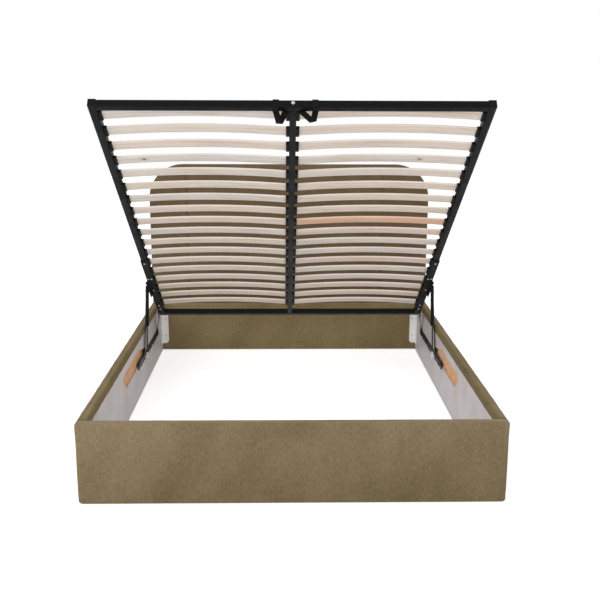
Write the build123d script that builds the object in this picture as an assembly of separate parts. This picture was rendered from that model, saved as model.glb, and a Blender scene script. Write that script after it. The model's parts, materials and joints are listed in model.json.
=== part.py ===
from build123d import *
import os
from math import atan2, cos, degrees, hypot, radians, sin

# An ottoman storage bed. The slat frame lifts on two pairs of links and two gas struts.
# Millimetres. While a piece is made, X is across the bed, Y runs from the outer face of
# the foot rail towards the headboard, and Z is up from the floor. Every piece is then
# moved so that the origin is the middle of the bed's floor area.

# Slat frame, a welded tube frame as large as the mattress that it carries
FRAME_WIDTH = 1500.0
FRAME_LENGTH = 2000.0
TUBE_WIDTH = 30.0
SIDE_TUBE_HEIGHT = 32.0
CROSS_TUBE_HEIGHT = 29.0
CENTRE_TUBE_WIDTH = 26.0
TUBE_WALL = 1.5
END_CAP_THICKNESS = 2.0
END_CAP_PLUG = 16.0

# Rails and headboard, upholstered boards
RAIL_HEIGHT = 325.0
SIDE_RAIL_THICKNESS = 40.0
FOOT_RAIL_THICKNESS = 50.0
HEAD_RAIL_THICKNESS = 30.0
HEAD_RAIL_STEP = 30.0
COVER_THICKNESS = 4.0
LINING_THICKNESS = 4.0
COVER_RETURN = 34.0
RAIL_EDGE_RADIUS = 9.0
RAIL_CORNER_RADIUS = 22.0
HEADBOARD_OVERHANG = 17.5
HEADBOARD_HEIGHT = 1130.0
HEADBOARD_THICKNESS = 80.0
HEADBOARD_CORNER_RADIUS = 200.0
HEADBOARD_EDGE_RADIUS = 24.0
HEADBOARD_BACK_RADIUS = 6.0
HEADBOARD_PADDING = 26.0
HEADBOARD_WRAP = 14.0
BACK_PANEL_THICKNESS = 4.0
BACK_PANEL_BORDER = 30.0
SEAM_LEFT_INSET = 227.5
SEAM_RIGHT_INSET = 281.5
SEAM_WIDTH = 7.0
SEAM_DEPTH = 5.0
GLIDE_HEIGHT = 3.0
GLIDE_DIAMETER = 26.0

# Running room round the lowered slat frame, and how deep the mattress sits in the rails
END_GAP = 15.0
MATTRESS_DROP = 35.0

# The lift: how far the head end comes forward and up, and the angle at which it stops
LIFT_ANGLE = 36.5
HEAD_FORWARD = 265.5
HEAD_RISE = 33.4

# Lift mechanism, layer by layer from the frame out to the side rail
TOP_BRACKET_THICKNESS = 3.0
STRUT_DIAMETER = 18.0
LINK_THICKNESS = 3.0
BASE_BRACKET_THICKNESS = 4.5
LAYER_GAP = 0.5

# Pivots: U is the distance from the frame's head end, V the height above its underside
REAR_PIN_U = 50.0
FRONT_PIN_U = 370.0
FRONT_PIN_V = -12.0
STRUT_PIN_U = 420.0
STRUT_PIN_V = 12.0
BASE_BAR_DROP = 88.0
FRONT_PIVOT_RISE = 35.0

# Links, brackets and struts
LINK_WIDTH = 24.0
FRONT_LINK_WIDTH = 18.0
JOGGLE_START = 40.0
JOGGLE_LENGTH = 80.0
BASE_BAR_HEIGHT = 36.0
BASE_BAR_FRONT = 180.0
EAR_RADIUS = 14.0
TOP_BRACKET_START = 30.0
TOP_BRACKET_END = 712.0
TOP_BRACKET_HEIGHT = 28.0
TOP_BRACKET_BEVEL = 20.0
WEB_REACH = 42.0
WEB_DEPTH = 30.0
FLANGE_WIDTH = 28.0
FLANGE_START = 70.0
PIN_DIAMETER = 10.0
PIN_HEAD_DIAMETER = 17.0
PIN_HEAD_THICKNESS = 3.0
BOSS_DIAMETER = 14.0
STUD_DIAMETER = 8.0
STUD_HEAD_DIAMETER = 12.0
STUD_HEAD_THICKNESS = 2.5
FIT = 0.05
SHORT_OF = 0.3
EYE_DIAMETER = 16.0
EYE_WIDTH = 14.0
EYE_NECK = 14.0
ROD_DIAMETER = 8.0
CYLINDER_LENGTH = 215.0
CYLINDER_WALL = 2.0
CYLINDER_GUIDE = 12.0
CYLINDER_CAP = 8.0
PISTON_THICKNESS = 8.0

# Slats and their holders
SLAT_COUNT = 18
SLAT_WIDTH = 50.0
SLAT_THICKNESS = 8.0
SLAT_BOW = 15.0
SLAT_V = 11.0
FIRST_SLAT_U = 162.0
LAST_SLAT_MARGIN = 73.4
SLAT_INSERT = 9.0
HOLDER_REACH = 12.5
HOLDER_LENGTH = 53.0
HOLDER_HEIGHT = 15.0
HOLDER_V = 6.0
HOLDER_EDGE = 1.0

# Recess milled through the lining into the side rail's board
RECESS_LENGTH = 652.0
RECESS_HEIGHT = 84.0
RECESS_RISE = 40.0
RECESS_PAST_PIVOT = 9.0
RECESS_FOOT_LEAN = 134.0
RECESS_HEAD_LEAN = 168.0
RECESS_HEAD_DROP = 39.0
RECESS_TOE_RADIUS = 20.0
RECESS_HEEL_RADIUS = 50.0
RECESS_END_RADIUS = 32.0
RECESS_NOSE_RADIUS = 12.0
RECESS_DEPTH = 6.0

# Corner plates, ledges, pads and fasteners
PLATE_THICKNESS = 4.0
PLATE_LEG = 39.0
PLATE_LOW = 45.0
PLATE_HIGH = 250.0
PLATE_BEVEL = 12.0
LEDGE_START = 190.0
LEDGE_SIDE_GAP = 160.0
LEDGE_DEPTH = 28.0
LEDGE_HEIGHT = 45.0
PAD_THICKNESS = 5.0
PAD_LENGTH = 60.0
PAD_WIDTH = 14.0
SCREW_DIAMETER = 5.0
SCREW_HEAD_DIAMETER = 9.0
SCREW_HEAD_THICKNESS = 2.0
SCREW_LENGTH = 22.0
BOLT_DIAMETER = 6.0
BOLT_HEAD_DIAMETER = 10.0
BOLT_HEAD_THICKNESS = 4.0
BOLT_LENGTH = 14.0
FRAME_BOLT_DIAMETER = 8.0
FRAME_BOLT_HEAD_DIAMETER = 14.0
FRAME_BOLT_HEAD_THICKNESS = 5.0
WASHER_DIAMETER = 26.0
WASHER_THICKNESS = 2.0
BACK_BOLT_LENGTH = 110.0

# Pull strap: webbing round the foot tube, its middle caught over the centre tube
STRAP_WIDTH = 23.0
STRAP_THICKNESS = 2.5
STRAP_LEFT_X = -64.0
STRAP_RIGHT_X = 83.0
STRAP_LEFT_LOW_X = -48.0
STRAP_RIGHT_LOW_X = 68.0
STRAP_DROP = 62.0
STRAP_CLEAR = 0.3

# Lengths that follow from the sizes above
OVERRUN = 1.0
FRAME_HALF = FRAME_WIDTH / 2
TOP_BRACKET_X = FRAME_HALF + TOP_BRACKET_THICKNESS
STRUT_X = TOP_BRACKET_X + LAYER_GAP + STRUT_DIAMETER / 2
LINK_X = STRUT_X + STRUT_DIAMETER / 2 + LAYER_GAP
BASE_BRACKET_X = LINK_X + LINK_THICKNESS + LAYER_GAP
INNER_HALF = BASE_BRACKET_X + BASE_BRACKET_THICKNESS
OUTER_HALF = INNER_HALF + SIDE_RAIL_THICKNESS
HEAD_RAIL_HEIGHT = RAIL_HEIGHT - HEAD_RAIL_STEP
HEADBOARD_WIDTH = 2 * (OUTER_HALF + HEADBOARD_OVERHANG)
SEAM_LEFT_X = SEAM_LEFT_INSET - HEADBOARD_WIDTH / 2
SEAM_RIGHT_X = HEADBOARD_WIDTH / 2 - SEAM_RIGHT_INSET
LEDGE_LENGTH = INNER_HALF - LEDGE_SIDE_GAP - LEDGE_START
CLOSED_HEAD_Y = FOOT_RAIL_THICKNESS + END_GAP + FRAME_LENGTH
HEAD_RAIL_Y = CLOSED_HEAD_Y + END_GAP
HEADBOARD_Y = HEAD_RAIL_Y + HEAD_RAIL_THICKNESS
TOTAL_LENGTH = HEADBOARD_Y + HEADBOARD_THICKNESS
CLOSED_Z = RAIL_HEIGHT - MATTRESS_DROP - SIDE_TUBE_HEIGHT
LINING_TOP = RAIL_HEIGHT - COVER_RETURN
OPEN_HEAD_Y = CLOSED_HEAD_Y - HEAD_FORWARD
OPEN_HEAD_Z = CLOSED_Z + HEAD_RISE
REAR_PIN_V = SIDE_TUBE_HEIGHT / 2
SLAT_PITCH = (FRAME_LENGTH - LAST_SLAT_MARGIN - FIRST_SLAT_U) / (SLAT_COUNT - 1)
BASE_BAR_Z = CLOSED_Z - BASE_BAR_DROP
EYE_X = STRUT_X - EYE_WIDTH / 2
SHIFT = Pos(0, -TOTAL_LENGTH / 2, 0)
LIFTED = Pos(0, OPEN_HEAD_Y, OPEN_HEAD_Z) * Rot(-LIFT_ANGLE, 0, 0)


def lifted_point(u, v):
    """Y and Z of a frame point while the frame stands open."""
    angle = radians(LIFT_ANGLE)
    y = OPEN_HEAD_Y - u * cos(angle) + v * sin(angle)
    z = OPEN_HEAD_Z + u * sin(angle) + v * cos(angle)
    return y, z


def lowered_point(u, v):
    """Y and Z of the same frame point while the frame lies closed."""
    return CLOSED_HEAD_Y - u, CLOSED_Z + v


def fixed_pivot(u, v, z):
    """The base pivot at height z that is as far from the open as from the closed point."""
    open_y, open_z = lifted_point(u, v)
    closed_y, closed_z = lowered_point(u, v)
    rise = (open_z + closed_z) / 2 - z
    slope = (closed_z - open_z) / (closed_y - open_y)
    return (open_y + closed_y) / 2 + rise * slope, z


REAR_PIVOT = fixed_pivot(REAR_PIN_U, REAR_PIN_V, BASE_BAR_Z)
FRONT_PIVOT = fixed_pivot(FRONT_PIN_U, FRONT_PIN_V, BASE_BAR_Z + FRONT_PIVOT_RISE)
STRUT_FOOT = (FRONT_PIVOT[0], BASE_BAR_Z)
BASE_BAR_START = FRONT_PIVOT[0] - BASE_BAR_FRONT


def reach(start, end):
    """Length and angle, in degrees above +Y, of the line between two (Y, Z) points."""
    dy, dz = end[0] - start[0], end[1] - start[1]
    return hypot(dy, dz), degrees(atan2(dz, dy))


REAR_LENGTH, REAR_ANGLE = reach(REAR_PIVOT, lifted_point(REAR_PIN_U, REAR_PIN_V))
FRONT_LENGTH, FRONT_ANGLE = reach(FRONT_PIVOT, lifted_point(FRONT_PIN_U, FRONT_PIN_V))
STRUT_LENGTH, STRUT_ANGLE = reach(STRUT_FOOT, lifted_point(STRUT_PIN_U, STRUT_PIN_V))


def block(x0, x1, y0, y1, z0, z1):
    """A box between two corners."""
    middle = Pos((x0 + x1) / 2, (y0 + y1) / 2, (z0 + z1) / 2)
    return middle * Box(abs(x1 - x0), abs(y1 - y0), abs(z1 - z0))


def frame_block(x0, x1, u0, u1, v0, v1):
    """A box in the frame's own axes: X, U from the head end, V above the underside."""
    return block(x0, x1, -u1, -u0, v0, v1)


def rod_x(x0, x1, y, z, diameter):
    """A round bar along X."""
    return extrude(Plane.YZ.offset(x0) * Pos(y, z) * Circle(diameter / 2), x1 - x0)


def rod_y(y0, y1, x, z, diameter):
    """A round bar along Y."""
    return extrude(Plane.XZ.offset(-y0) * Pos(x, z) * Circle(diameter / 2), -(y1 - y0))


def rod_z(z0, z1, x, y, diameter):
    """A round bar along Z."""
    return extrude(Plane.XY.offset(z0) * Pos(x, y) * Circle(diameter / 2), z1 - z0)


def flipped(shape):
    """The same piece on the bed's left side."""
    return mirror(shape, about=Plane.YZ)


def both(shape):
    """A piece and its mirror image."""
    return [shape, flipped(shape)]


def group(pieces):
    """Separate solids that share one node."""
    return Compound(children=[solid for piece in pieces for solid in piece.solids()])


def on_link(pivot, angle, shape):
    """Turn a piece made along +Y from the origin about its pivot."""
    return Pos(0, pivot[0], pivot[1]) * Rot(angle, 0, 0) * shape


# Rails

def side_block(inset, top):
    """The side rail's outline, drawn in by inset on all faces but its ends and floor edge."""
    rail = block(INNER_HALF + inset, OUTER_HALF - inset, FOOT_RAIL_THICKNESS, HEADBOARD_Y,
                 GLIDE_HEIGHT, top)
    edges = rail.edges().filter_by(Axis.Y).group_by(Axis.Z)[-1]
    return fillet(edges, RAIL_EDGE_RADIUS - inset)


def side_lining_space():
    """The room behind the lining's face, below the cover's inner return."""
    return block(INNER_HALF, INNER_HALF + LINING_THICKNESS, FOOT_RAIL_THICKNESS, HEADBOARD_Y,
                 GLIDE_HEIGHT, LINING_TOP)


def recess_cut(depth):
    """The oblong recess with leaning, rounded ends, milled behind the lining's face."""
    rear = FRONT_PIVOT[0] + RECESS_PAST_PIVOT
    front = rear - RECESS_LENGTH
    low = BASE_BAR_Z + RECESS_RISE - RECESS_HEIGHT / 2
    high = low + RECESS_HEIGHT
    toe, heel = (front, high), (front + RECESS_FOOT_LEAN, low)
    end, nose = (rear, low), (rear, high - RECESS_HEAD_DROP)
    outline = make_face(Polyline(toe, heel, end, nose, (rear - RECESS_HEAD_LEAN, high), close=True))
    for place, radius in ((toe, RECESS_TOE_RADIUS), (heel, RECESS_HEEL_RADIUS),
                          (end, RECESS_END_RADIUS), (nose, RECESS_NOSE_RADIUS)):
        corner = outline.vertices().sort_by_distance((*place, 0))[0]
        outline = fillet(corner, radius)
    return extrude(Plane.YZ.offset(INNER_HALF) * outline, depth)


def base_screw_places():
    """Y and Z of each base bracket's screws, below the links' sweep."""
    low = BASE_BAR_Z - BASE_BAR_HEIGHT / 2 + SCREW_HEAD_DIAMETER
    length = REAR_PIVOT[0] - BASE_BAR_START
    screw_shares = (0.02, 0.15, 0.42, 0.66, 0.9)
    return [(BASE_BAR_START + share * length, low) for share in screw_shares]


def plate_screw_heights():
    """Heights of the corner plates' screws."""
    height_shares = (0.25, 0.75)
    return [PLATE_LOW + share * (PLATE_HIGH - PLATE_LOW) for share in height_shares]


def side_screw_holes():
    """Shanks of all screws that enter a side rail, with their fit."""
    across = SCREW_DIAMETER + 2 * FIT
    end = INNER_HALF + SCREW_LENGTH
    holes = [rod_x(BASE_BRACKET_X, end, y, z, across) for y, z in base_screw_places()]
    for y in (FOOT_RAIL_THICKNESS + PLATE_LEG / 2, HEAD_RAIL_Y - PLATE_LEG / 2):
        holes += [rod_x(INNER_HALF - PLATE_THICKNESS, end, y, z, across)
                  for z in plate_screw_heights()]
    return holes


def side_rail_core():
    core = side_block(COVER_THICKNESS, RAIL_HEIGHT - COVER_THICKNESS)
    pocket = recess_cut(LINING_THICKNESS + RECESS_DEPTH)
    return core - [pocket] - side_screw_holes() - headboard_bolt_holes()


def side_rail_cover():
    shell = side_block(0, RAIL_HEIGHT) - side_block(COVER_THICKNESS, RAIL_HEIGHT - COVER_THICKNESS)
    return shell - side_lining_space()


def side_rail_lining():
    return side_lining_space() - [recess_cut(LINING_THICKNESS)] - side_screw_holes()


def foot_block(inset, top):
    """The foot rail's outline with round upright corners and a round top edge."""
    half = OUTER_HALF - inset
    middle = Pos(0, FOOT_RAIL_THICKNESS / 2)
    plan = middle * Rectangle(2 * half, FOOT_RAIL_THICKNESS - 2 * inset)
    plan = fillet(plan.vertices().group_by(Axis.Y)[0], RAIL_CORNER_RADIUS - inset)
    solid = extrude(Plane.XY.offset(GLIDE_HEIGHT) * plan, top - GLIDE_HEIGHT)
    return fillet(solid.faces().sort_by(Axis.Z)[-1].edges(), RAIL_EDGE_RADIUS - inset)


def foot_lining_space():
    return block(-INNER_HALF, INNER_HALF, FOOT_RAIL_THICKNESS - LINING_THICKNESS,
                 FOOT_RAIL_THICKNESS, GLIDE_HEIGHT, LINING_TOP)


def plate_end_holes(face_y, way):
    """Screw shanks that enter the foot or head rail through the corner plates."""
    holes = []
    for z in plate_screw_heights():
        start = face_y - way * PLATE_THICKNESS
        end = face_y + way * SCREW_LENGTH
        bar = rod_y(start, end, INNER_HALF - PLATE_LEG / 2 - PLATE_THICKNESS, z,
                    SCREW_DIAMETER + 2 * FIT)
        holes += both(bar)
    return holes


def foot_rail_core():
    return (foot_block(COVER_THICKNESS, RAIL_HEIGHT - COVER_THICKNESS)
            - plate_end_holes(FOOT_RAIL_THICKNESS, -1) - ledge_screw_bars(FIT))


def foot_rail_cover():
    shell = foot_block(0, RAIL_HEIGHT) - foot_block(COVER_THICKNESS, RAIL_HEIGHT - COVER_THICKNESS)
    return shell - foot_lining_space()


def foot_rail_lining():
    return foot_lining_space() - plate_end_holes(FOOT_RAIL_THICKNESS, -1) - ledge_screw_bars(FIT)


def head_rail_core():
    core = block(-INNER_HALF, INNER_HALF, HEAD_RAIL_Y + COVER_THICKNESS, HEADBOARD_Y,
                 GLIDE_HEIGHT, HEAD_RAIL_HEIGHT - COVER_THICKNESS)
    return core - plate_end_holes(HEAD_RAIL_Y, 1)


def head_rail_cover():
    shell = block(-INNER_HALF, INNER_HALF, HEAD_RAIL_Y, HEADBOARD_Y, GLIDE_HEIGHT,
                  HEAD_RAIL_HEIGHT)
    front_top = shell.edges().filter_by(Axis.X).group_by(Axis.Z)[-1].sort_by(Axis.Y)[0]
    shell = fillet(front_top, RAIL_EDGE_RADIUS)
    core = block(-INNER_HALF, INNER_HALF, HEAD_RAIL_Y + COVER_THICKNESS, HEADBOARD_Y,
                 GLIDE_HEIGHT, HEAD_RAIL_HEIGHT - COVER_THICKNESS)
    return shell - core - plate_end_holes(HEAD_RAIL_Y, 1)


# Headboard

def headboard_slab(inset, y0, y1):
    """The headboard's arched outline between two depths, drawn in at its sides and top."""
    width = HEADBOARD_WIDTH - 2 * inset
    height = HEADBOARD_HEIGHT - inset - GLIDE_HEIGHT
    outline = Pos(0, GLIDE_HEIGHT + height / 2) * Rectangle(width, height)
    top = outline.vertices().group_by(Axis.Y)[-1]
    outline = fillet(top, HEADBOARD_CORNER_RADIUS - inset)
    return extrude(Plane.XZ.offset(-y0) * outline, -(y1 - y0))


def headboard_bolt_places():
    """X and Z of the bolts that hold the headboard to the side rails' ends."""
    x = (INNER_HALF + OUTER_HALF) / 2
    height_shares = (0.25, 0.7)
    return [(x, share * RAIL_HEIGHT) for share in height_shares]


def headboard_bolt_holes():
    """Bolt shanks, with their fit, as far as they reach into the side rail."""
    y0 = TOTAL_LENGTH - BACK_BOLT_LENGTH
    return [rod_y(y0, TOTAL_LENGTH, x, z, BOLT_DIAMETER + 2 * FIT)
            for x, z in headboard_bolt_places()]


def washer_pockets():
    """Counterbores in the headboard's back for the washers and bolt heads."""
    deep = TOTAL_LENGTH - BACK_PANEL_THICKNESS - WASHER_THICKNESS - BOLT_HEAD_THICKNESS
    return [rod_y(deep, TOTAL_LENGTH + OVERRUN, x, z, WASHER_DIAMETER + 2 * FIT)
            for x, z in headboard_bolt_places()]


def headboard_core_blank():
    return headboard_slab(HEADBOARD_WRAP, HEADBOARD_Y + HEADBOARD_PADDING,
                          TOTAL_LENGTH - BACK_PANEL_THICKNESS)


def headboard_holes():
    """Both sides' bolt shanks and washer pockets."""
    return [hole for bar in headboard_bolt_holes() + washer_pockets() for hole in both(bar)]


def headboard_core():
    return headboard_core_blank() - headboard_holes()


def headboard_back_panel():
    panel = headboard_slab(BACK_PANEL_BORDER, TOTAL_LENGTH - BACK_PANEL_THICKNESS, TOTAL_LENGTH)
    return panel - headboard_holes()


def headboard_cover():
    slab = headboard_slab(0, HEADBOARD_Y, TOTAL_LENGTH)
    slab = fillet(long_outline_edges(slab, 0), HEADBOARD_EDGE_RADIUS)
    slab = fillet(long_outline_edges(slab, -1), HEADBOARD_BACK_RADIUS)
    panel = headboard_slab(BACK_PANEL_BORDER, TOTAL_LENGTH - BACK_PANEL_THICKNESS, TOTAL_LENGTH)
    slab = slab - headboard_core_blank() - panel - headboard_holes()
    for x in (SEAM_LEFT_X, SEAM_RIGHT_X):
        slab -= seam_cut(x)
    return slab


def long_outline_edges(slab, which):
    """Edges of the front or back face, but not the one at the floor."""
    face = slab.faces().filter_by(Axis.Y).sort_by(Axis.Y)[which]
    edges = face.edges()
    low = edges.filter_by(Axis.X).sort_by(Axis.Z)[0]
    return [edge for edge in edges if edge != low]


def seam_cut(x):
    """A V-shaped sewn seam down the headboard's front."""
    half = SEAM_WIDTH / 2
    points = [(x - half, HEADBOARD_Y), (x, HEADBOARD_Y + SEAM_DEPTH), (x + half, HEADBOARD_Y)]
    wedge = make_face(Polyline(*points, close=True))
    return extrude(wedge, HEADBOARD_HEIGHT)


def back_bolt(x, z):
    """A headboard bolt: head, washer and shank."""
    seat = TOTAL_LENGTH - BACK_PANEL_THICKNESS - WASHER_THICKNESS - BOLT_HEAD_THICKNESS
    washer = rod_y(seat, seat + WASHER_THICKNESS, x, z, WASHER_DIAMETER)
    head_start = seat + WASHER_THICKNESS
    head = rod_y(head_start, head_start + BOLT_HEAD_THICKNESS, x, z, BOLT_HEAD_DIAMETER)
    shank = rod_y(TOTAL_LENGTH - BACK_BOLT_LENGTH, seat, x, z, BOLT_DIAMETER)
    return washer + head + shank


def headboard_bolts():
    return group([piece for x, z in headboard_bolt_places() for piece in both(back_bolt(x, z))])


# Corner plates, ledges and glides

def corner_plate(face_y, way):
    """An angle plate from the side lining to the foot rail (way -1) or head rail (way 1)."""
    legs_y = sorted((face_y, face_y - way * PLATE_THICKNESS))
    inner = INNER_HALF - PLATE_LEG
    outline = Polyline((inner + PLATE_BEVEL, PLATE_LOW), (INNER_HALF, PLATE_LOW),
                       (INNER_HALF, PLATE_HIGH), (inner, PLATE_HIGH),
                       (inner, PLATE_LOW + PLATE_BEVEL), close=True)
    flat = extrude(Plane.XZ.offset(-legs_y[0]) * make_face(outline), -PLATE_THICKNESS)
    side_y = sorted((face_y, face_y - way * PLATE_LEG))
    side = block(INNER_HALF - PLATE_THICKNESS, INNER_HALF, side_y[0], side_y[1], PLATE_LOW,
                 PLATE_HIGH)
    holes = plate_end_holes(face_y, way) + side_screw_holes()
    return flat + side - holes


def screw_x(y, z, face_x):
    """A pan-head screw that runs outwards along X, its head on a face."""
    head = rod_x(face_x - SCREW_HEAD_THICKNESS, face_x, y, z, SCREW_HEAD_DIAMETER)
    return head + rod_x(face_x, INNER_HALF + SCREW_LENGTH, y, z, SCREW_DIAMETER)


def screw_y(x, z, face_y, way):
    """A pan-head screw along Y into the foot or head rail, through a corner plate."""
    seat = face_y - way * PLATE_THICKNESS
    spans = (sorted((seat - way * SCREW_HEAD_THICKNESS, seat)),
             sorted((seat, face_y + way * SCREW_LENGTH)))
    head = rod_y(spans[0][0], spans[0][1], x, z, SCREW_HEAD_DIAMETER)
    return head + rod_y(spans[1][0], spans[1][1], x, z, SCREW_DIAMETER)


def corner_screws():
    """All screws of the four corner plates."""
    pieces = []
    for face_y, way in ((FOOT_RAIL_THICKNESS, -1), (HEAD_RAIL_Y, 1)):
        for z in plate_screw_heights():
            pieces += both(screw_x(face_y - way * PLATE_LEG / 2, z, INNER_HALF - PLATE_THICKNESS))
            pieces += both(screw_y(INNER_HALF - PLATE_LEG / 2 - PLATE_THICKNESS, z, face_y, way))
    return group(pieces)


def ledge_top():
    return CLOSED_Z - SHORT_OF - PAD_THICKNESS


def foot_ledge():
    """The batten that the closed frame's foot tube rests on."""
    batten = block(LEDGE_START, LEDGE_START + LEDGE_LENGTH, FOOT_RAIL_THICKNESS,
                   FOOT_RAIL_THICKNESS + LEDGE_DEPTH, ledge_top() - LEDGE_HEIGHT, ledge_top())
    return batten - ledge_screw_bars(FIT)


def ledge_screw_places():
    """X of the ledge's screws, and their height."""
    x_shares = (0.12, 0.5, 0.88)
    z = ledge_top() - LEDGE_HEIGHT / 2
    return [(LEDGE_START + share * LEDGE_LENGTH, z) for share in x_shares]


def ledge_screw_bars(fit):
    """Shanks of the ledge's screws on both sides, each made larger by its fit."""
    start = FOOT_RAIL_THICKNESS - SCREW_LENGTH
    end = FOOT_RAIL_THICKNESS + LEDGE_DEPTH
    return [bar for x, z in ledge_screw_places()
            for bar in both(rod_y(start, end, x, z, SCREW_DIAMETER + 2 * fit))]


def ledge_screws():
    pieces = ledge_screw_bars(0)
    seat = FOOT_RAIL_THICKNESS + LEDGE_DEPTH
    heads = [head for x, z in ledge_screw_places()
             for head in both(rod_y(seat, seat + SCREW_HEAD_THICKNESS, x, z,
                                    SCREW_HEAD_DIAMETER))]
    return group([bar + head for bar, head in zip(pieces, heads)])


def rest_pads():
    """Rubber pads on the ledges, two on each."""
    y1 = FOOT_RAIL_THICKNESS + LEDGE_DEPTH
    pad_shares = (0.2, 0.8)
    pads = []
    for share in pad_shares:
        x = LEDGE_START + share * LEDGE_LENGTH
        pads += both(block(x - PAD_LENGTH / 2, x + PAD_LENGTH / 2, y1 - PAD_WIDTH, y1,
                           ledge_top(), ledge_top() + PAD_THICKNESS))
    return group(pads)


def glide(x, y):
    return rod_z(0, GLIDE_HEIGHT, x, y, GLIDE_DIAMETER)


def glides():
    """Four glides under each side rail, the foot rail and the headboard."""
    x = (INNER_HALF + OUTER_HALF) / 2
    length_shares = (0.1, 0.37, 0.64, 0.9)
    half_shares = (0.3, 0.95)
    length = HEADBOARD_Y - FOOT_RAIL_THICKNESS
    pieces = [glide(x, FOOT_RAIL_THICKNESS + share * length) for share in length_shares]
    for y in (FOOT_RAIL_THICKNESS / 2, HEADBOARD_Y + HEADBOARD_THICKNESS / 2):
        pieces += [glide(share * OUTER_HALF, y) for share in half_shares]
    return group([copy for piece in pieces for copy in both(piece)])


# Mechanism pieces that stay with the base

def pin_holes(base_side):
    """Bars that cut the base bracket's pivot holes."""
    across = PIN_DIAMETER + 2 * FIT
    start, end = base_side
    return [rod_x(start, end, *REAR_PIVOT, across), rod_x(start, end, *FRONT_PIVOT, across),
            rod_x(start, end, *STRUT_FOOT, STUD_DIAMETER + 2 * FIT)]


def base_bracket():
    """A flat bar on the lining with an ear for the front link."""
    length = REAR_PIVOT[0] - BASE_BAR_START
    middle = Pos((REAR_PIVOT[0] + BASE_BAR_START) / 2, BASE_BAR_Z)
    bar = middle * SlotCenterToCenter(length, BASE_BAR_HEIGHT)
    ear = Pos(*FRONT_PIVOT) * Circle(EAR_RADIUS)
    neck = Pos(FRONT_PIVOT[0], (FRONT_PIVOT[1] + BASE_BAR_Z) / 2)
    neck = neck * Rectangle(2 * EAR_RADIUS, FRONT_PIVOT_RISE)
    plate = extrude(Plane.YZ.offset(BASE_BRACKET_X) * (bar + ear + neck), BASE_BRACKET_THICKNESS)
    return plate - pin_holes((BASE_BRACKET_X, INNER_HALF)) - side_screw_holes()


def base_bracket_screws():
    return group([piece for y, z in base_screw_places()
                  for piece in both(screw_x(y, z, BASE_BRACKET_X))])


def rear_base_pin():
    """From the lining through bracket and link, with a head inside."""
    head_x = LINK_X - SHORT_OF
    shank = rod_x(head_x, INNER_HALF, *REAR_PIVOT, PIN_DIAMETER)
    return shank + rod_x(head_x - PIN_HEAD_THICKNESS, head_x, *REAR_PIVOT, PIN_HEAD_DIAMETER)


def front_base_pin():
    """A flush rivet, because the strut passes close beside it."""
    return rod_x(LINK_X, INNER_HALF, *FRONT_PIVOT, PIN_DIAMETER)


def strut_stud():
    """A stud from the base bracket through the strut's lower eye."""
    end = EYE_X - SHORT_OF
    shank = rod_x(end, INNER_HALF, *STRUT_FOOT, STUD_DIAMETER)
    return shank + rod_x(end - STUD_HEAD_THICKNESS, end, *STRUT_FOOT, STUD_HEAD_DIAMETER)


# Links

def link_outline(length, width):
    return Pos(length / 2, 0) * SlotCenterToCenter(length, width)


def rear_link():
    """A joggled bar: its foot lies by the base bracket, its top by the top bracket."""
    top_x = TOP_BRACKET_X + LAYER_GAP
    ramp_end = JOGGLE_START + JOGGLE_LENGTH
    near, far = -LINK_WIDTH, REAR_LENGTH + LINK_WIDTH
    side = Polyline((LINK_X, near), (LINK_X + LINK_THICKNESS, near),
                    (LINK_X + LINK_THICKNESS, JOGGLE_START), (top_x + LINK_THICKNESS, ramp_end),
                    (top_x + LINK_THICKNESS, far), (top_x, far), (top_x, ramp_end),
                    (LINK_X, JOGGLE_START), close=True)
    strip = extrude(make_face(side), LINK_WIDTH, both=True)
    start, end = TOP_BRACKET_X, BASE_BRACKET_X
    outline = link_outline(REAR_LENGTH, LINK_WIDTH)
    link = strip & extrude(Plane.YZ.offset(start) * outline, end - start)
    across = PIN_DIAMETER + 2 * FIT
    holes = [rod_x(start, end, y, 0, across) for y in (0, REAR_LENGTH)]
    return on_link(REAR_PIVOT, REAR_ANGLE, link - holes)


def front_link():
    """A straight flat bar in the outer layer."""
    outline = link_outline(FRONT_LENGTH, FRONT_LINK_WIDTH)
    link = extrude(Plane.YZ.offset(LINK_X) * outline, LINK_THICKNESS)
    across = PIN_DIAMETER + 2 * FIT
    holes = [rod_x(LINK_X, LINK_X + LINK_THICKNESS, y, 0, across) for y in (0, FRONT_LENGTH)]
    return on_link(FRONT_PIVOT, FRONT_ANGLE, link - holes)


def rear_top_pin():
    """The rivet in the rear link's upper end, its head on the outer side."""
    start = TOP_BRACKET_X + SHORT_OF
    head_x = TOP_BRACKET_X + LAYER_GAP + LINK_THICKNESS + SHORT_OF
    shank = rod_x(start, head_x, REAR_LENGTH, 0, PIN_DIAMETER)
    head = rod_x(head_x, head_x + PIN_HEAD_THICKNESS, REAR_LENGTH, 0, PIN_HEAD_DIAMETER)
    return on_link(REAR_PIVOT, REAR_ANGLE, shank + head)


# Gas struts, made along +Y from the lower eye

def strut_eye(y):
    return rod_x(EYE_X, EYE_X + EYE_WIDTH, y, 0, EYE_DIAMETER)


def strut_rod():
    """The lower eye, the rod and the piston at its hidden end."""
    guide = STRUT_LENGTH - EYE_NECK - CYLINDER_LENGTH
    rod_end = guide + CYLINDER_GUIDE + SHORT_OF + PISTON_THICKNESS
    rod = rod_y(0, rod_end, STRUT_X, 0, ROD_DIAMETER)
    bore = STRUT_DIAMETER - 2 * CYLINDER_WALL
    piston = rod_y(rod_end - PISTON_THICKNESS, rod_end, STRUT_X, 0, bore - 4 * FIT)
    body = strut_eye(0) + rod + piston
    hole = rod_x(EYE_X - OVERRUN, EYE_X + EYE_WIDTH + OVERRUN, 0, 0, STUD_DIAMETER + 2 * FIT)
    return on_link(STRUT_FOOT, STRUT_ANGLE, body - hole)


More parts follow.
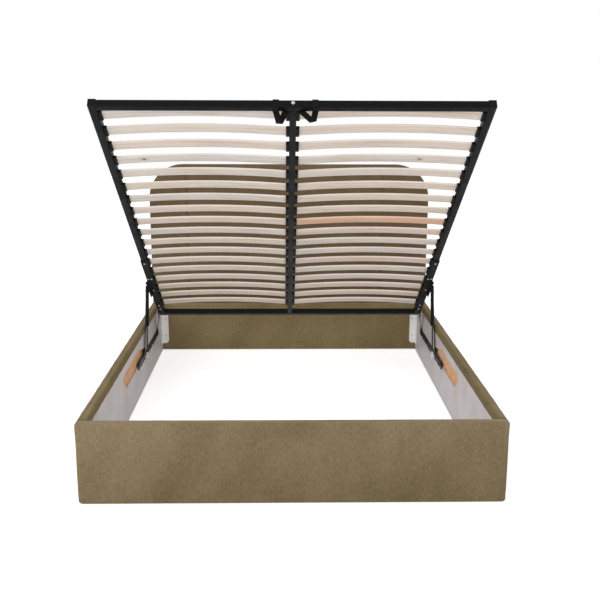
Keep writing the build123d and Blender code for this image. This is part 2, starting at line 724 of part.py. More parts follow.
def strut_cylinder():
    """The pressure tube with its rod guide, and the upper eye on a neck."""
    start = STRUT_LENGTH - EYE_NECK - CYLINDER_LENGTH
    end = start + CYLINDER_LENGTH
    shell = rod_y(start, end, STRUT_X, 0, STRUT_DIAMETER)
    guide = rod_y(start - OVERRUN, start + CYLINDER_GUIDE + OVERRUN, STRUT_X, 0,
                  ROD_DIAMETER + 2 * FIT)
    bore = rod_y(start + CYLINDER_GUIDE, end - CYLINDER_CAP, STRUT_X, 0,
                 STRUT_DIAMETER - 2 * CYLINDER_WALL)
    neck = rod_y(end, STRUT_LENGTH, STRUT_X, 0, ROD_DIAMETER)
    hole = rod_x(EYE_X - OVERRUN, EYE_X + EYE_WIDTH + OVERRUN, STRUT_LENGTH, 0,
                 STUD_DIAMETER + 2 * FIT)
    body = shell + neck + strut_eye(STRUT_LENGTH) - guide - bore - hole
    return on_link(STRUT_FOOT, STRUT_ANGLE, body)


def strut_top_pin():
    """The pin in the strut's upper eye, with a low head on the outer side."""
    end = EYE_X + EYE_WIDTH
    shank = rod_x(EYE_X, end, STRUT_LENGTH, 0, STUD_DIAMETER)
    head = rod_x(end, end + (STRUT_DIAMETER - EYE_WIDTH) / 4, STRUT_LENGTH, 0,
                 STUD_HEAD_DIAMETER)
    return on_link(STRUT_FOOT, STRUT_ANGLE, shank + head)


# Slat frame, made in its own axes and lifted when it is written

def hollow(x0, x1, u0, u1, v0, v1, along):
    """A rectangular tube, open at both ends, along X or U."""
    outer = frame_block(x0, x1, u0, u1, v0, v1)
    x_in = 0 if along == "X" else TUBE_WALL
    u_in = 0 if along == "U" else TUBE_WALL
    inner = frame_block(x0 + x_in, x1 - x_in, u0 + u_in, u1 - u_in, v0 + TUBE_WALL,
                        v1 - TUBE_WALL)
    return outer - inner


def bracket_bolt_places():
    """X and U of the bolts through the top bracket's flange."""
    middle = FRAME_HALF - TUBE_WIDTH / 2
    aside = BOLT_HEAD_DIAMETER - 2
    span = TOP_BRACKET_END - FLANGE_START
    single_shares = (0.05, 0.13, 0.46, 0.965)
    places = [(middle, FLANGE_START + share * span) for share in single_shares]
    pair_share = 0.68
    u = FLANGE_START + pair_share * span
    return places + [(middle - aside, u), (middle + aside, u)]


def bracket_bolt(x, u):
    """A bolt up through the flange into the tube."""
    under = -TOP_BRACKET_THICKNESS
    head = rod_z(under - BOLT_HEAD_THICKNESS, under, x, -u, BOLT_HEAD_DIAMETER)
    return head + rod_z(under, under + BOLT_LENGTH, x, -u, BOLT_DIAMETER)


def bracket_bolt_holes():
    across = BOLT_DIAMETER + 2 * FIT
    return [rod_z(-TOP_BRACKET_THICKNESS - OVERRUN, BOLT_LENGTH, x, -u, across)
            for x, u in bracket_bolt_places()]


def side_tube():
    tube = hollow(FRAME_HALF - TUBE_WIDTH, FRAME_HALF, END_CAP_THICKNESS,
                  FRAME_LENGTH - END_CAP_THICKNESS, 0, SIDE_TUBE_HEIGHT, "U")
    return tube - bracket_bolt_holes()


def cross_tube(u0):
    return hollow(-FRAME_HALF + TUBE_WIDTH, FRAME_HALF - TUBE_WIDTH, u0, u0 + TUBE_WIDTH, 0,
                  CROSS_TUBE_HEIGHT, "X") - frame_bolt_holes()


def centre_tube():
    return hollow(-CENTRE_TUBE_WIDTH / 2, CENTRE_TUBE_WIDTH / 2, TUBE_WIDTH,
                  FRAME_LENGTH - TUBE_WIDTH, 0, CROSS_TUBE_HEIGHT, "U")


def end_cap(u, way):
    """A plastic cap with a plug, way 1 at the head end and -1 at the foot end."""
    x0, x1 = FRAME_HALF - TUBE_WIDTH, FRAME_HALF
    inset = TUBE_WALL + FIT
    plug_end = u + way * (END_CAP_THICKNESS + END_CAP_PLUG)
    face = sorted((u, u + way * END_CAP_THICKNESS))
    plug = sorted((u, plug_end))
    return (frame_block(x0, x1, face[0], face[1], 0, SIDE_TUBE_HEIGHT)
            + frame_block(x0 + inset, x1 - inset, plug[0], plug[1], inset,
                          SIDE_TUBE_HEIGHT - inset))


def end_caps():
    pieces = both(end_cap(0, 1)) + both(end_cap(FRAME_LENGTH, -1))
    return group(pieces)


def top_bracket():
    """An angle under and beside the side tube, with a web for the front link and strut."""
    web0, web1 = FRONT_PIN_U - WEB_REACH, STRUT_PIN_U + WEB_REACH
    under = -TOP_BRACKET_THICKNESS
    low = under - WEB_DEPTH + TOP_BRACKET_THICKNESS
    points = ((TOP_BRACKET_START, under), (web0 - WEB_DEPTH, under), (web0, low), (web1, low),
              (web1 + WEB_DEPTH, under), (TOP_BRACKET_END, under),
              (TOP_BRACKET_END, TOP_BRACKET_HEIGHT - TOP_BRACKET_BEVEL),
              (TOP_BRACKET_END - TOP_BRACKET_BEVEL, TOP_BRACKET_HEIGHT),
              (TOP_BRACKET_START, TOP_BRACKET_HEIGHT))
    outline = make_face(Polyline(*[(-u, v) for u, v in points], close=True))
    leg = extrude(Plane.YZ.offset(FRAME_HALF) * outline, TOP_BRACKET_THICKNESS)
    flange = frame_block(FRAME_HALF - FLANGE_WIDTH, FRAME_HALF, FLANGE_START, TOP_BRACKET_END,
                         under, 0)
    boss = rod_x(TOP_BRACKET_X, LINK_X - SHORT_OF, -FRONT_PIN_U, FRONT_PIN_V, BOSS_DIAMETER)
    stub = rod_x(TOP_BRACKET_X, EYE_X - SHORT_OF, -STRUT_PIN_U, STRUT_PIN_V, BOSS_DIAMETER)
    return leg + flange + boss + stub - bracket_bolt_holes()


def top_bracket_bolts():
    return group([piece for x, u in bracket_bolt_places() for piece in both(bracket_bolt(x, u))])


def front_top_pin():
    """From the bracket's boss through the front link, with a head outside."""
    head_x = LINK_X + LINK_THICKNESS + SHORT_OF
    shank = rod_x(LINK_X - SHORT_OF, head_x, -FRONT_PIN_U, FRONT_PIN_V, PIN_DIAMETER)
    return shank + rod_x(head_x, head_x + PIN_HEAD_THICKNESS, -FRONT_PIN_U, FRONT_PIN_V,
                         PIN_HEAD_DIAMETER)


def frame_bolt_holes():
    """Shanks, with their fit, of the bolts that hold the centre tube's ends."""
    across = FRAME_BOLT_DIAMETER + 2 * FIT
    return [rod_y(-FRAME_LENGTH - OVERRUN, OVERRUN, 0, CROSS_TUBE_HEIGHT / 2, across)]


def frame_bolts():
    """One bolt through each cross tube into the centre tube."""
    length = 2 * TUBE_WIDTH
    v = CROSS_TUBE_HEIGHT / 2
    head = FRAME_BOLT_HEAD_THICKNESS
    at_head = rod_y(0, head, 0, v, FRAME_BOLT_HEAD_DIAMETER)
    at_head += rod_y(-length, 0, 0, v, FRAME_BOLT_DIAMETER)
    at_foot = rod_y(-FRAME_LENGTH - head, -FRAME_LENGTH, 0, v, FRAME_BOLT_HEAD_DIAMETER)
    at_foot += rod_y(-FRAME_LENGTH, -FRAME_LENGTH + length, 0, v, FRAME_BOLT_DIAMETER)
    return group([at_head, at_foot])


# Slats

def slat_span():
    """X of a right-hand slat's two ends."""
    inner = CENTRE_TUBE_WIDTH / 2 + HOLDER_REACH - SLAT_INSERT
    outer = FRAME_HALF - TUBE_WIDTH - HOLDER_REACH + SLAT_INSERT
    return inner, outer


def slat(clear):
    """One bowed slat across the right half at U = 0, made larger by a clearance."""
    x0, x1 = slat_span()
    x0, x1 = x0 - clear, x1 + clear
    low, high = SLAT_V - clear, SLAT_V + SLAT_THICKNESS + clear
    middle = (x0 + x1) / 2
    under = ThreePointArc((x0, low), (middle, low + SLAT_BOW), (x1, low))
    over = ThreePointArc((x1, high), (middle, high + SLAT_BOW), (x0, high))
    sides = [Line((x1, low), (x1, high)), Line((x0, high), (x0, low))]
    section = make_face([under, sides[0], over, sides[1]])
    half = SLAT_WIDTH / 2 + clear
    return extrude(Plane.XZ.offset(-half) * section, 2 * half)


def slat_places():
    return [FIRST_SLAT_U + index * SLAT_PITCH for index in range(SLAT_COUNT)]


def repeated(piece):
    """A copy of a piece at each slat's place."""
    return [Pos(0, -u, 0) * piece for u in slat_places()]


def holder(x0, x1):
    """A plastic cap that takes one slat end."""
    half = HOLDER_LENGTH / 2
    body = frame_block(x0, x1, -half, half, HOLDER_V, HOLDER_V + HOLDER_HEIGHT)
    body = chamfer(body.edges().filter_by(Axis.X), HOLDER_EDGE)
    return body - slat(SHORT_OF)


def centre_holder():
    return holder(CENTRE_TUBE_WIDTH / 2, CENTRE_TUBE_WIDTH / 2 + HOLDER_REACH)


def side_holder():
    face = FRAME_HALF - TUBE_WIDTH
    return holder(face - HOLDER_REACH, face)


# Pull strap

def strap_ring(x):
    """Webbing wrapped once round the foot tube."""
    x0, x1 = x - STRAP_WIDTH / 2, x + STRAP_WIDTH / 2
    u0, u1 = FRAME_LENGTH - TUBE_WIDTH - STRAP_CLEAR, FRAME_LENGTH + STRAP_CLEAR
    v0, v1 = -STRAP_CLEAR, CROSS_TUBE_HEIGHT + STRAP_CLEAR
    web = STRAP_THICKNESS
    outer = frame_block(x0, x1, u0 - web, u1 + web, v0 - web, v1 + web)
    edges = outer.edges().filter_by(Axis.X)
    outer = fillet(edges, web)
    return outer - frame_block(x0 - OVERRUN, x1 + OVERRUN, u0, u1, v0, v1)


def strap_strand(start, end):
    """Flat webbing between two (X, V) points just behind the foot tube."""
    length, angle = hypot(end[0] - start[0], end[1] - start[1]), 0
    angle = degrees(atan2(end[1] - start[1], end[0] - start[0]))
    middle = Pos((start[0] + end[0]) / 2, (start[1] + end[1]) / 2) * Rot(0, 0, angle)
    strip = middle * Rectangle(length + STRAP_WIDTH / 2, STRAP_WIDTH)
    u = FRAME_LENGTH - TUBE_WIDTH - STRAP_CLEAR
    return extrude(Plane.XZ.offset(u - STRAP_THICKNESS) * strip, STRAP_THICKNESS)


def strap_side(ring_x, low_x, way):
    """One hanging loop: down from the ring, and up beside the centre tube."""
    low = (low_x, -STRAP_DROP + STRAP_WIDTH / 2)
    half_tube = CENTRE_TUBE_WIDTH / 2 + STRAP_CLEAR
    beside = (way * (half_tube + STRAP_WIDTH), CROSS_TUBE_HEIGHT / 2)
    down = strap_strand((ring_x, 0), low)
    up = strap_strand(low, beside)
    space = frame_block(-half_tube, half_tube, 0, FRAME_LENGTH, -STRAP_DROP,
                        CROSS_TUBE_HEIGHT + STRAP_CLEAR)
    return down + up - space


def pull_strap():
    """Two rings, two hanging loops and the band over the centre tube."""
    half = CENTRE_TUBE_WIDTH / 2 + STRAP_CLEAR + STRAP_WIDTH
    u1 = FRAME_LENGTH - TUBE_WIDTH - STRAP_CLEAR
    top = CROSS_TUBE_HEIGHT + STRAP_CLEAR
    over = frame_block(-half, half, u1 - STRAP_THICKNESS, u1, CROSS_TUBE_HEIGHT / 2, top)
    space = frame_block(-CENTRE_TUBE_WIDTH / 2 - STRAP_CLEAR, CENTRE_TUBE_WIDTH / 2 + STRAP_CLEAR,
                        0, FRAME_LENGTH, -STRAP_DROP, top)
    bridge = frame_block(-half, half, u1 - STRAP_WIDTH / 2, u1, top, top + STRAP_THICKNESS)
    left = strap_side(STRAP_LEFT_X, STRAP_LEFT_LOW_X, -1)
    right = strap_side(STRAP_RIGHT_X, STRAP_RIGHT_LOW_X, 1)
    return (strap_ring(STRAP_LEFT_X) + strap_ring(STRAP_RIGHT_X) + left + right
            + (over - space) + bridge)


def write(name, shape):
    """Write one node about the middle of the bed's floor area."""
    export_step(SHIFT * shape, os.path.join("parts", name + ".step"))


def write_pair(name, shape):
    """Write a right-hand piece and its left-hand mirror image."""
    write(name + "_right", shape)
    write(name + "_left", flipped(shape))


def write_base():
    write("foot_rail_core", foot_rail_core())
    write("foot_rail_cover", foot_rail_cover())
    write("foot_rail_lining", foot_rail_lining())
    write_pair("side_rail_core", side_rail_core())
    write_pair("side_rail_cover", side_rail_cover())
    write_pair("side_rail_lining", side_rail_lining())
    write("head_rail_core", head_rail_core())
    write("head_rail_cover", head_rail_cover())
    write("headboard_core", headboard_core())
    write("headboard_cover", headboard_cover())
    write("headboard_back_panel", headboard_back_panel())
    write("headboard_bolts", headboard_bolts())
    write_pair("head_corner_plate", corner_plate(HEAD_RAIL_Y, 1))
    write_pair("foot_corner_plate", corner_plate(FOOT_RAIL_THICKNESS, -1))
    write("corner_screws", corner_screws())
    write_pair("foot_ledge", foot_ledge())
    write("ledge_screws", ledge_screws())
    write("rest_pads", rest_pads())
    write("glides", glides())


def write_mechanism():
    write_pair("base_bracket", base_bracket())
    write("base_bracket_screws", base_bracket_screws())
    write("rear_base_pins", group(both(rear_base_pin())))
    write("front_base_pins", group(both(front_base_pin())))
    write("strut_studs", group(both(strut_stud())))
    write_pair("rear_link", rear_link())
    write_pair("front_link", front_link())
    write("rear_top_pins", group(both(rear_top_pin())))
    write_pair("strut_rod", strut_rod())
    write_pair("strut_cylinder", strut_cylinder())
    write("strut_top_pins", group(both(strut_top_pin())))


def write_slat_frame():
    write_pair("side_tube", LIFTED * side_tube())
    write("foot_tube", LIFTED * cross_tube(FRAME_LENGTH - TUBE_WIDTH))
    write("head_tube", LIFTED * cross_tube(0))
    write("centre_tube", LIFTED * centre_tube())
    write("tube_end_caps", LIFTED * end_caps())
    write_pair("top_bracket", LIFTED * top_bracket())
    write("top_bracket_bolts", LIFTED * top_bracket_bolts())
    write("front_top_pins", LIFTED * group(both(front_top_pin())))
    write("frame_bolts", LIFTED * frame_bolts())
    write_pair("slats", LIFTED * group(repeated(slat(0))))
    write_pair("side_slat_holders", LIFTED * group(repeated(side_holder())))
    centre = repeated(centre_holder())
    write("centre_slat_holders", LIFTED * group(centre + [flipped(piece) for piece in centre]))
    write("pull_strap", LIFTED * pull_strap())


def main():
    os.makedirs("parts", exist_ok=True)
    write_base()
    write_mechanism()
    write_slat_frame()


if __name__ == "__main__":
    main()
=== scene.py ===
"""Looks of the ottoman storage bed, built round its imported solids.

Metres throughout. X is across the bed, Y runs from the foot rail to the headboard and Z is
up, with the origin in the middle of the bed's floor area.
"""

import json
import logging
import math
from dataclasses import dataclass, field
from enum import Enum
from typing import Any, Dict, List, Optional, Sequence, Tuple, Union

import bmesh
import bpy
import numpy as np
from mathutils import Matrix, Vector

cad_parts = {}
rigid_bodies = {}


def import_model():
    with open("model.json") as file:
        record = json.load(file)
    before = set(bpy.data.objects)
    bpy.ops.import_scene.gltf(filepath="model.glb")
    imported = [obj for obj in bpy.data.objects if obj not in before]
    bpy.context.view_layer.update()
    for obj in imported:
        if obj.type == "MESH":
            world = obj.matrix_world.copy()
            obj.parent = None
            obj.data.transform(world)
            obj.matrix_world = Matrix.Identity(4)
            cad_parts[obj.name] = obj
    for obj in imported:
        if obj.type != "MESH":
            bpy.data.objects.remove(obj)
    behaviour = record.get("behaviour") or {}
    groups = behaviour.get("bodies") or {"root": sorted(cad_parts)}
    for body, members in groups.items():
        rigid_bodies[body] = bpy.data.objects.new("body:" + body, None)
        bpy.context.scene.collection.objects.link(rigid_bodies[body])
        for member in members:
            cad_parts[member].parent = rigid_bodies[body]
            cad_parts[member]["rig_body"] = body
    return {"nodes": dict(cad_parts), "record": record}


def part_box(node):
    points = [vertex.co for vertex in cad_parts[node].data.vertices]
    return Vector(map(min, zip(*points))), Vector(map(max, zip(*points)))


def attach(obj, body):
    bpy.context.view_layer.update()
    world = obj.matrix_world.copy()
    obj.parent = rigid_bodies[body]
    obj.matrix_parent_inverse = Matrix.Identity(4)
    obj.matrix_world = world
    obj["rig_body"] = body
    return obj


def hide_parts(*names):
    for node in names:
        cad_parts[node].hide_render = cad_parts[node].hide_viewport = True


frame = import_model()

log = logging.getLogger("ottoman_bed")

Point = Tuple[float, float, float]
Pair = Tuple[float, float]
Colour = Tuple[float, float, float, float]
WHITE: Colour = (1.0, 1.0, 1.0, 1.0)
FULL_TURN = 2 * math.pi
RIGHT_ANGLE = math.pi / 2
NOISE_MEAN = 0.5

# How far apart points may be to be merged, in metres
WELD = 1e-5
TOUCHING = 1e-6

# Smallest angles between faces that count as an edge, in degrees, and steps across an edge
FLAT_BELOW = 0.6
CUT_EDGE = 32.0
DRAWN_EDGE = 40.0
SEWN_EDGE = 50.0
EDGE_STEPS = 2


# Shader building


def paint(red: float, green: float, blue: float) -> Colour:
    """Turn a display colour into the linear colour that shaders take.

    Each channel v of 0 to 1 becomes v / 12.92 up to 0.04045, and above that
    ((v + 0.055) / 1.055) to the power of 2.4.

    Args:
        red: Red, 0 to 255.
        green: Green, 0 to 255.
        blue: Blue, 0 to 255.

    Returns:
        The colour, wholly opaque.
    """
    parts = [value / 255 for value in (red, green, blue)]
    linear = [p / 12.92 if p <= 0.04045 else ((p + 0.055) / 1.055) ** 2.4 for p in parts]
    return (linear[0], linear[1], linear[2], 1.0)


class Wire:
    """One output of a shader node. Arithmetic on it adds Math nodes."""

    def __init__(self, shader: "Shader", socket: bpy.types.NodeSocket) -> None:
        """Keep the shader that the node stands in, and the node's output."""
        self.shader = shader
        self.socket = socket

    def math(self, operation: str, *terms: "Value") -> "Wire":
        """A Math node on these terms; this wire may be one of them."""
        return self.shader.node("ShaderNodeMath", {"operation": operation}, dict(enumerate(terms)))

    def __add__(self, other: "Value") -> "Wire":
        """Sum."""
        return self.math("ADD", self, other)

    def __radd__(self, other: "Value") -> "Wire":
        """Sum, the number first."""
        return self.math("ADD", other, self)

    def __sub__(self, other: "Value") -> "Wire":
        """Difference."""
        return self.math("SUBTRACT", self, other)

    def __rsub__(self, other: "Value") -> "Wire":
        """Difference, the number first."""
        return self.math("SUBTRACT", other, self)

    def __mul__(self, other: "Value") -> "Wire":
        """Product."""
        return self.math("MULTIPLY", self, other)

    def __rmul__(self, other: "Value") -> "Wire":
        """Product, the number first."""
        return self.math("MULTIPLY", other, self)

    def __truediv__(self, other: "Value") -> "Wire":
        """Quotient."""
        return self.math("DIVIDE", self, other)

    def __pow__(self, other: "Value") -> "Wire":
        """Power."""
        return self.math("POWER", self, other)

    def wave(self, pitch: float) -> "Wire":
        """A sine wave from -1 to 1 that repeats with the pitch."""
        return self.math("SINE", self * (FULL_TURN / pitch))

    def swell(self, pitch: float) -> "Wire":
        """The same wave from 0 to 1."""
        return self.wave(pitch) * 0.5 + 0.5

    def diagonal(self, other: "Wire") -> "Wire":
        """Root of the sum of both squares."""
        return (self ** 2.0 + other ** 2.0) ** 0.5

    def size(self) -> "Wire":
        """The value without its sign."""
        return self.math("ABSOLUTE", self)

    def at_least(self, other: "Value") -> "Wire":
        """The larger of the two."""
        return self.math("MAXIMUM", self, other)

    def at_most(self, other: "Value") -> "Wire":
        """The smaller of the two."""
        return self.math("MINIMUM", self, other)

    def ramp(self, low: float, high: float) -> "Wire":
        """A smooth step from 0 at low to 1 at high, or the other way round.

        Args:
            low: Value that gives 0.
            high: Value that gives 1.

        Returns:
            The eased share between the two.
        """
        flip = low > high
        limits = {1: min(low, high), 2: max(low, high), 3: float(flip), 4: 1.0 - float(flip)}
        return self.shader.node("ShaderNodeMapRange", {"interpolation_type": "SMOOTHSTEP"},
                                {0: self, **limits})


Value = Union[Wire, float, Tuple[float, ...]]


@dataclass(frozen=True)
class Cloud:
    """A layer of cloudy noise, as a finish states it.

    Scale is how many clouds there are to the metre, at large or along each axis. Detail is
    how many finer layers are added, and roughness how strong they are. Span is where the
    layer starts and ends to show, and share is how much it counts.
    """

    scale: Union[float, Point]
    detail: float = 2.0
    roughness: float = 0.5
    span: Pair = (0.0, 1.0)
    share: float = 1.0


class Shader:
    """A material or a world while it is put together."""

    def __init__(self, holder: Union[bpy.types.Material, bpy.types.World]) -> None:
        """Start an empty node tree.

        Args:
            holder: The new material or world.
        """
        self.holder = holder
        holder.use_nodes = True
        self.tree = holder.node_tree
        self.tree.nodes.clear()

    @classmethod
    def material(cls, name: str) -> "Shader":
        """Start a new material under a name."""
        return cls(bpy.data.materials.new(name))

    def node(self, kind: str, settings: Optional[Dict[str, Any]] = None,
             inputs: Optional[Dict[Union[int, str], Value]] = None, output: int = 0) -> Wire:
        """Add a node.

        Args:
            kind: The node's type.
            settings: Its own properties, or "stops" for a colour ramp.
            inputs: Values or wires by socket number or name.
            output: Which output the wire comes from.

        Returns:
            The chosen output.
        """
        made = self.tree.nodes.new(kind)
        for key, value in (settings or {}).items():
            if key == "stops":
                self._set_stops(made.color_ramp, value)
            else:
                setattr(made, key, value)
        for key, value in (inputs or {}).items():
            if isinstance(value, Wire):
                self.tree.links.new(value.socket, made.inputs[key])
            else:
                made.inputs[key].default_value = value
        return Wire(self, made.outputs[output] if len(made.outputs) else made.inputs[0])

    @staticmethod
    def _set_stops(ramp: bpy.types.ColorRamp, stops: Sequence[Tuple[float, Colour]]) -> None:
        """Give a colour ramp its stops, from low to high.

        Args:
            ramp: The ramp.
            stops: Place and colour of each stop.
        """
        while len(ramp.elements) < len(stops):
            ramp.elements.new(1.0)
        for element, (place, colour) in zip(ramp.elements, stops):
            element.position = place
            element.color = colour

    def here(self) -> Wire:
        """Object coordinates."""
        return self.node("ShaderNodeTexCoord", output=3)

    def parts(self, vector: Wire) -> Tuple[Wire, Wire, Wire]:
        """Split a vector.

        Args:
            vector: The vector.

        Returns:
            Its three numbers.
        """
        split = self.node("ShaderNodeSeparateXYZ", inputs={0: vector})
        outputs = split.socket.node.outputs
        return Wire(self, outputs[0]), Wire(self, outputs[1]), Wire(self, outputs[2])

    def laid(self, name: str) -> Tuple[Wire, Wire]:
        """Distance along and across a piece, in metres, from its own UV map."""
        flat = self.node("ShaderNodeUVMap", {"uv_map": name})
        return self.parts(flat)[:2]

    def told(self, name: str, output: int = 2) -> Wire:
        """A value that the mesh carries: output 2 is a number and 1 a vector."""
        return self.node("ShaderNodeAttribute", {"attribute_name": name}, output=output)

    def vector(self, x: Value, y: Value, z: Value = 0.0) -> Wire:
        """A vector from three numbers."""
        return self.node("ShaderNodeCombineXYZ", inputs={0: x, 1: y, 2: z})

    def scaled(self, vector: Wire, by: Point) -> Wire:
        """A vector times another, number by number."""
        return self.node("ShaderNodeVectorMath", {"operation": "MULTIPLY"}, {0: vector, 1: by})

    def noise(self, vector: Wire, layer: Cloud) -> Wire:
        """Cloudy noise from 0 to 1, round about a half.

        Args:
            vector: Where to read it.
            layer: How dense, fine and rough it is.

        Returns:
            The noise.
        """
        scale = layer.scale
        if isinstance(scale, tuple):
            vector, scale = self.scaled(vector, scale), 1.0
        return self.node("ShaderNodeTexNoise", {"noise_dimensions": "3D"},
                         {"Vector": vector, "Scale": scale, "Detail": layer.detail,
                          "Roughness": layer.roughness})

    def patches(self, vector: Wire, layer: Cloud) -> Wire:
        """A layer's noise, eased from 0 to 1 over its span."""
        return self.noise(vector, layer).ramp(*layer.span)

    def chips(self, vector: Wire) -> Wire:
        """A number from 0 to 1 for each cell round one of scattered points.

        Args:
            vector: Where to read it, with one point to the unit.

        Returns:
            The number.
        """
        cells = self.node("ShaderNodeTexVoronoi", {"feature": "F1"},
                          {"Vector": vector, "Scale": 1.0}, 1)
        return self.parts(cells)[0]

    def mix(self, share: Value, first: Value, second: Value) -> Wire:
        """Mix two colours.

        Args:
            share: How much of the second colour shows, 0 to 1.
            first: The colour at share 0.
            second: The colour at share 1.

        Returns:
            The mixed colour.
        """
        return self.node("ShaderNodeMix", {"data_type": "RGBA"},
                         {0: share, 6: first, 7: second}, 2)

    def graded(self, share: Wire, places: Sequence[float], *colours: Colour) -> Wire:
        """A colour ramp with its colours at these places."""
        return self.node("ShaderNodeValToRGB", {"stops": list(zip(places, colours))}, {0: share})

    def bump(self, height: Wire, depth: float, strength: float) -> Wire:
        """A normal from a height.

        Args:
            height: Height from 0 to 1.
            depth: How deep that is, in metres.
            strength: How much of it shows.

        Returns:
            The normal.
        """
        return self.node("ShaderNodeBump", inputs={"Height": height, "Distance": depth,
                                                   "Strength": strength})

    def surface(self, colour: Value, roughness: Value, normal: Optional[Wire] = None,
                **constant: Any) -> bpy.types.Material:
        """Close the material with a Principled shader.

        Args:
            colour: Base colour.
            roughness: Roughness.
            normal: Normal, where there is one.
            constant: Plain values of other sockets, spaces in their names as underscores.

        Returns:
            The finished material.
        """
        inputs: Dict[Union[int, str], Value] = {"Base Color": colour, "Roughness": roughness}
        if normal is not None:
            inputs["Normal"] = normal
        inputs.update({key.replace("_", " "): value for key, value in constant.items()})
        shading = self.node("ShaderNodeBsdfPrincipled", inputs=inputs)
        self.node("ShaderNodeOutputMaterial", inputs={0: shading})
        return self.holder


# Finishes
#
# Stops are places on a colour ramp, from the first colour to the last. Roughness is that of
# the plain finish and what its layers add or take. Heights are how far the layers stand up,
# and relief is the depth of the bumps, in metres, and how much of them shows.


@dataclass(frozen=True)
class RibbedChenille:
    """Khaki chenille with fine upright ribs and crushed patches.

    Panels take copies of it with deeper and paler tones, painted shade and painted light for
    how lit each panel is. Painted shade darkens the cloth towards the floor and a painted
    highlight lightens its top, over their spans of heights and by their shares.
    """

    pale: Colour = paint(162, 146, 118)
    middle: Colour = paint(131, 115, 87)
    deep: Colour = paint(96, 82, 53)
    sheen: Colour = paint(196, 180, 146)
    stops: Point = (0.22, 0.50, 0.84)
    rib_pitch: float = 0.0086
    rib_wander: Cloud = Cloud((24.0, 5.0, 0.0), share=0.007)
    rib_share: float = 0.026
    rib_least: float = 0.35
    rib_height: float = 0.06
    rib_more: float = 0.10
    tufts: Cloud = Cloud((620.0, 190.0, 0.0), 2.0, 0.6, share=0.40)
    flecks: Cloud = Cloud((230.0, 62.0, 0.0), 3.0, 0.7, share=0.62)
    mottling: Cloud = Cloud((46.0, 22.0, 0.0), 3.0, 0.6, (0.40, 0.62), 0.17)
    crushing: Cloud = Cloud((9.0, 5.0, 3.7), 3.0, 0.55, share=0.27)
    lie: Cloud = Cloud((2.1, 1.6, 9.1), 1.0, share=0.36)
    tone_drop: float = 0.39
    # Painted shade towards the floor and a painted highlight on the top face: spans of height up
    # the cloth, and their shares
    painted_low_shade: Pair = (0.33, 0.02)
    painted_low_shade_share: float = 0.10
    painted_top_light: Pair = (0.326, 0.342)
    painted_top_light_share: float = 0.10
    roughness: Pair = (0.88, 0.10)
    heights: Pair = (0.42, 0.45)
    relief: Pair = (0.0012, 0.75)
    name: str = "ribbed_chenille"

    def make(self) -> bpy.types.Material:
        """Ribs, tufts and the lie of the pile on the cloth's own UV map, in metres.

        Returns:
            The material.
        """
        s = Shader.material(self.name)
        along, up = s.laid("cloth")
        sheet = s.vector(along, up, 1.0)
        wandered = along + s.noise(sheet, self.rib_wander) * self.rib_wander.share
        rib = wandered.wave(self.rib_pitch)
        tuft = s.noise(sheet, self.tufts)
        fleck = s.noise(sheet, self.flecks)
        mottle = s.noise(sheet, self.mottling)
        crush = s.noise(sheet, self.crushing)
        showing = mottle.ramp(*self.mottling.span)
        tone = (tuft * self.tufts.share + fleck * self.flecks.share
                + mottle * self.mottling.share + crush * self.crushing.share
                + s.noise(sheet, self.lie) * self.lie.share
                + rib * self.rib_share * (self.rib_least + showing) - self.tone_drop)
        # Painted shade darkens the cloth towards the floor, and a painted highlight lightens its
        # top face
        painted_low_shade = up.ramp(*self.painted_low_shade) * self.painted_low_shade_share
        painted_top_light = up.ramp(*self.painted_top_light) * self.painted_top_light_share
        colour = s.graded(tone - painted_low_shade + painted_top_light, self.stops, self.deep, self.middle, self.pale)
        tuft_high, fleck_high = self.heights
        height = (rib * (self.rib_height + self.rib_more * showing) + tuft * tuft_high
                  + fleck * fleck_high)
        dry, fleck_gloss = self.roughness
        return s.surface(colour, dry - fleck_gloss * fleck, s.bump(height, *self.relief),
                         Sheen_Weight=0.22, Sheen_Roughness=0.45, Sheen_Tint=self.sheen,
                         Specular_IOR_Level=0.15)


@dataclass(frozen=True)
class CoatedBoard:
    """The rails' white lining board, a little greyed and scuffed by handling."""

    base: Colour = paint(214, 208, 212)
    warm: Colour = paint(204, 197, 195)
    scuff: Colour = paint(176, 168, 166)
    clouding: Cloud = Cloud(5.0, 3.0, span=(0.38, 0.66))
    lines: Cloud = Cloud((60.0, 3.0, 150.0), 3.0, 0.6, (0.66, 0.76), 0.4)
    handled: Cloud = Cloud(11.0, span=(0.5, 0.64))
    dust: Cloud = Cloud(40.0, 3.0, span=(0.3, 0.7), share=0.35)
    dusty: Pair = (0.05, 0.0)
    skin: Cloud = Cloud(420.0)
    line_height: float = 0.5
    roughness: Point = (0.44, 0.14, 0.2)
    relief: Pair = (0.0003, 0.35)
    name: str = "coated_board"

    def make(self) -> bpy.types.Material:
        """Faint clouding, thin rubbed lines along the board, and dust by the floor.

        Returns:
            The material.
        """
        s = Shader.material(self.name)
        place = s.here()
        cloud = s.noise(place, self.clouding)
        colour = s.mix(cloud.ramp(*self.clouding.span), self.base, self.warm)
        line = s.noise(place, self.lines)
        rubbed = line.ramp(*self.lines.span) * s.patches(place, self.handled)
        colour = s.mix(rubbed * self.lines.share, colour, self.scuff)
        dust = s.parts(place)[2].ramp(*self.dusty) * s.patches(place, self.dust)
        colour = s.mix(dust * self.dust.share, colour, self.scuff)
        plain, clouded, worn = self.roughness
        height = s.noise(place, self.skin) + line * self.line_height
        return s.surface(colour, plain + clouded * cloud + worn * rubbed,
                         s.bump(height, *self.relief), Specular_IOR_Level=0.4)


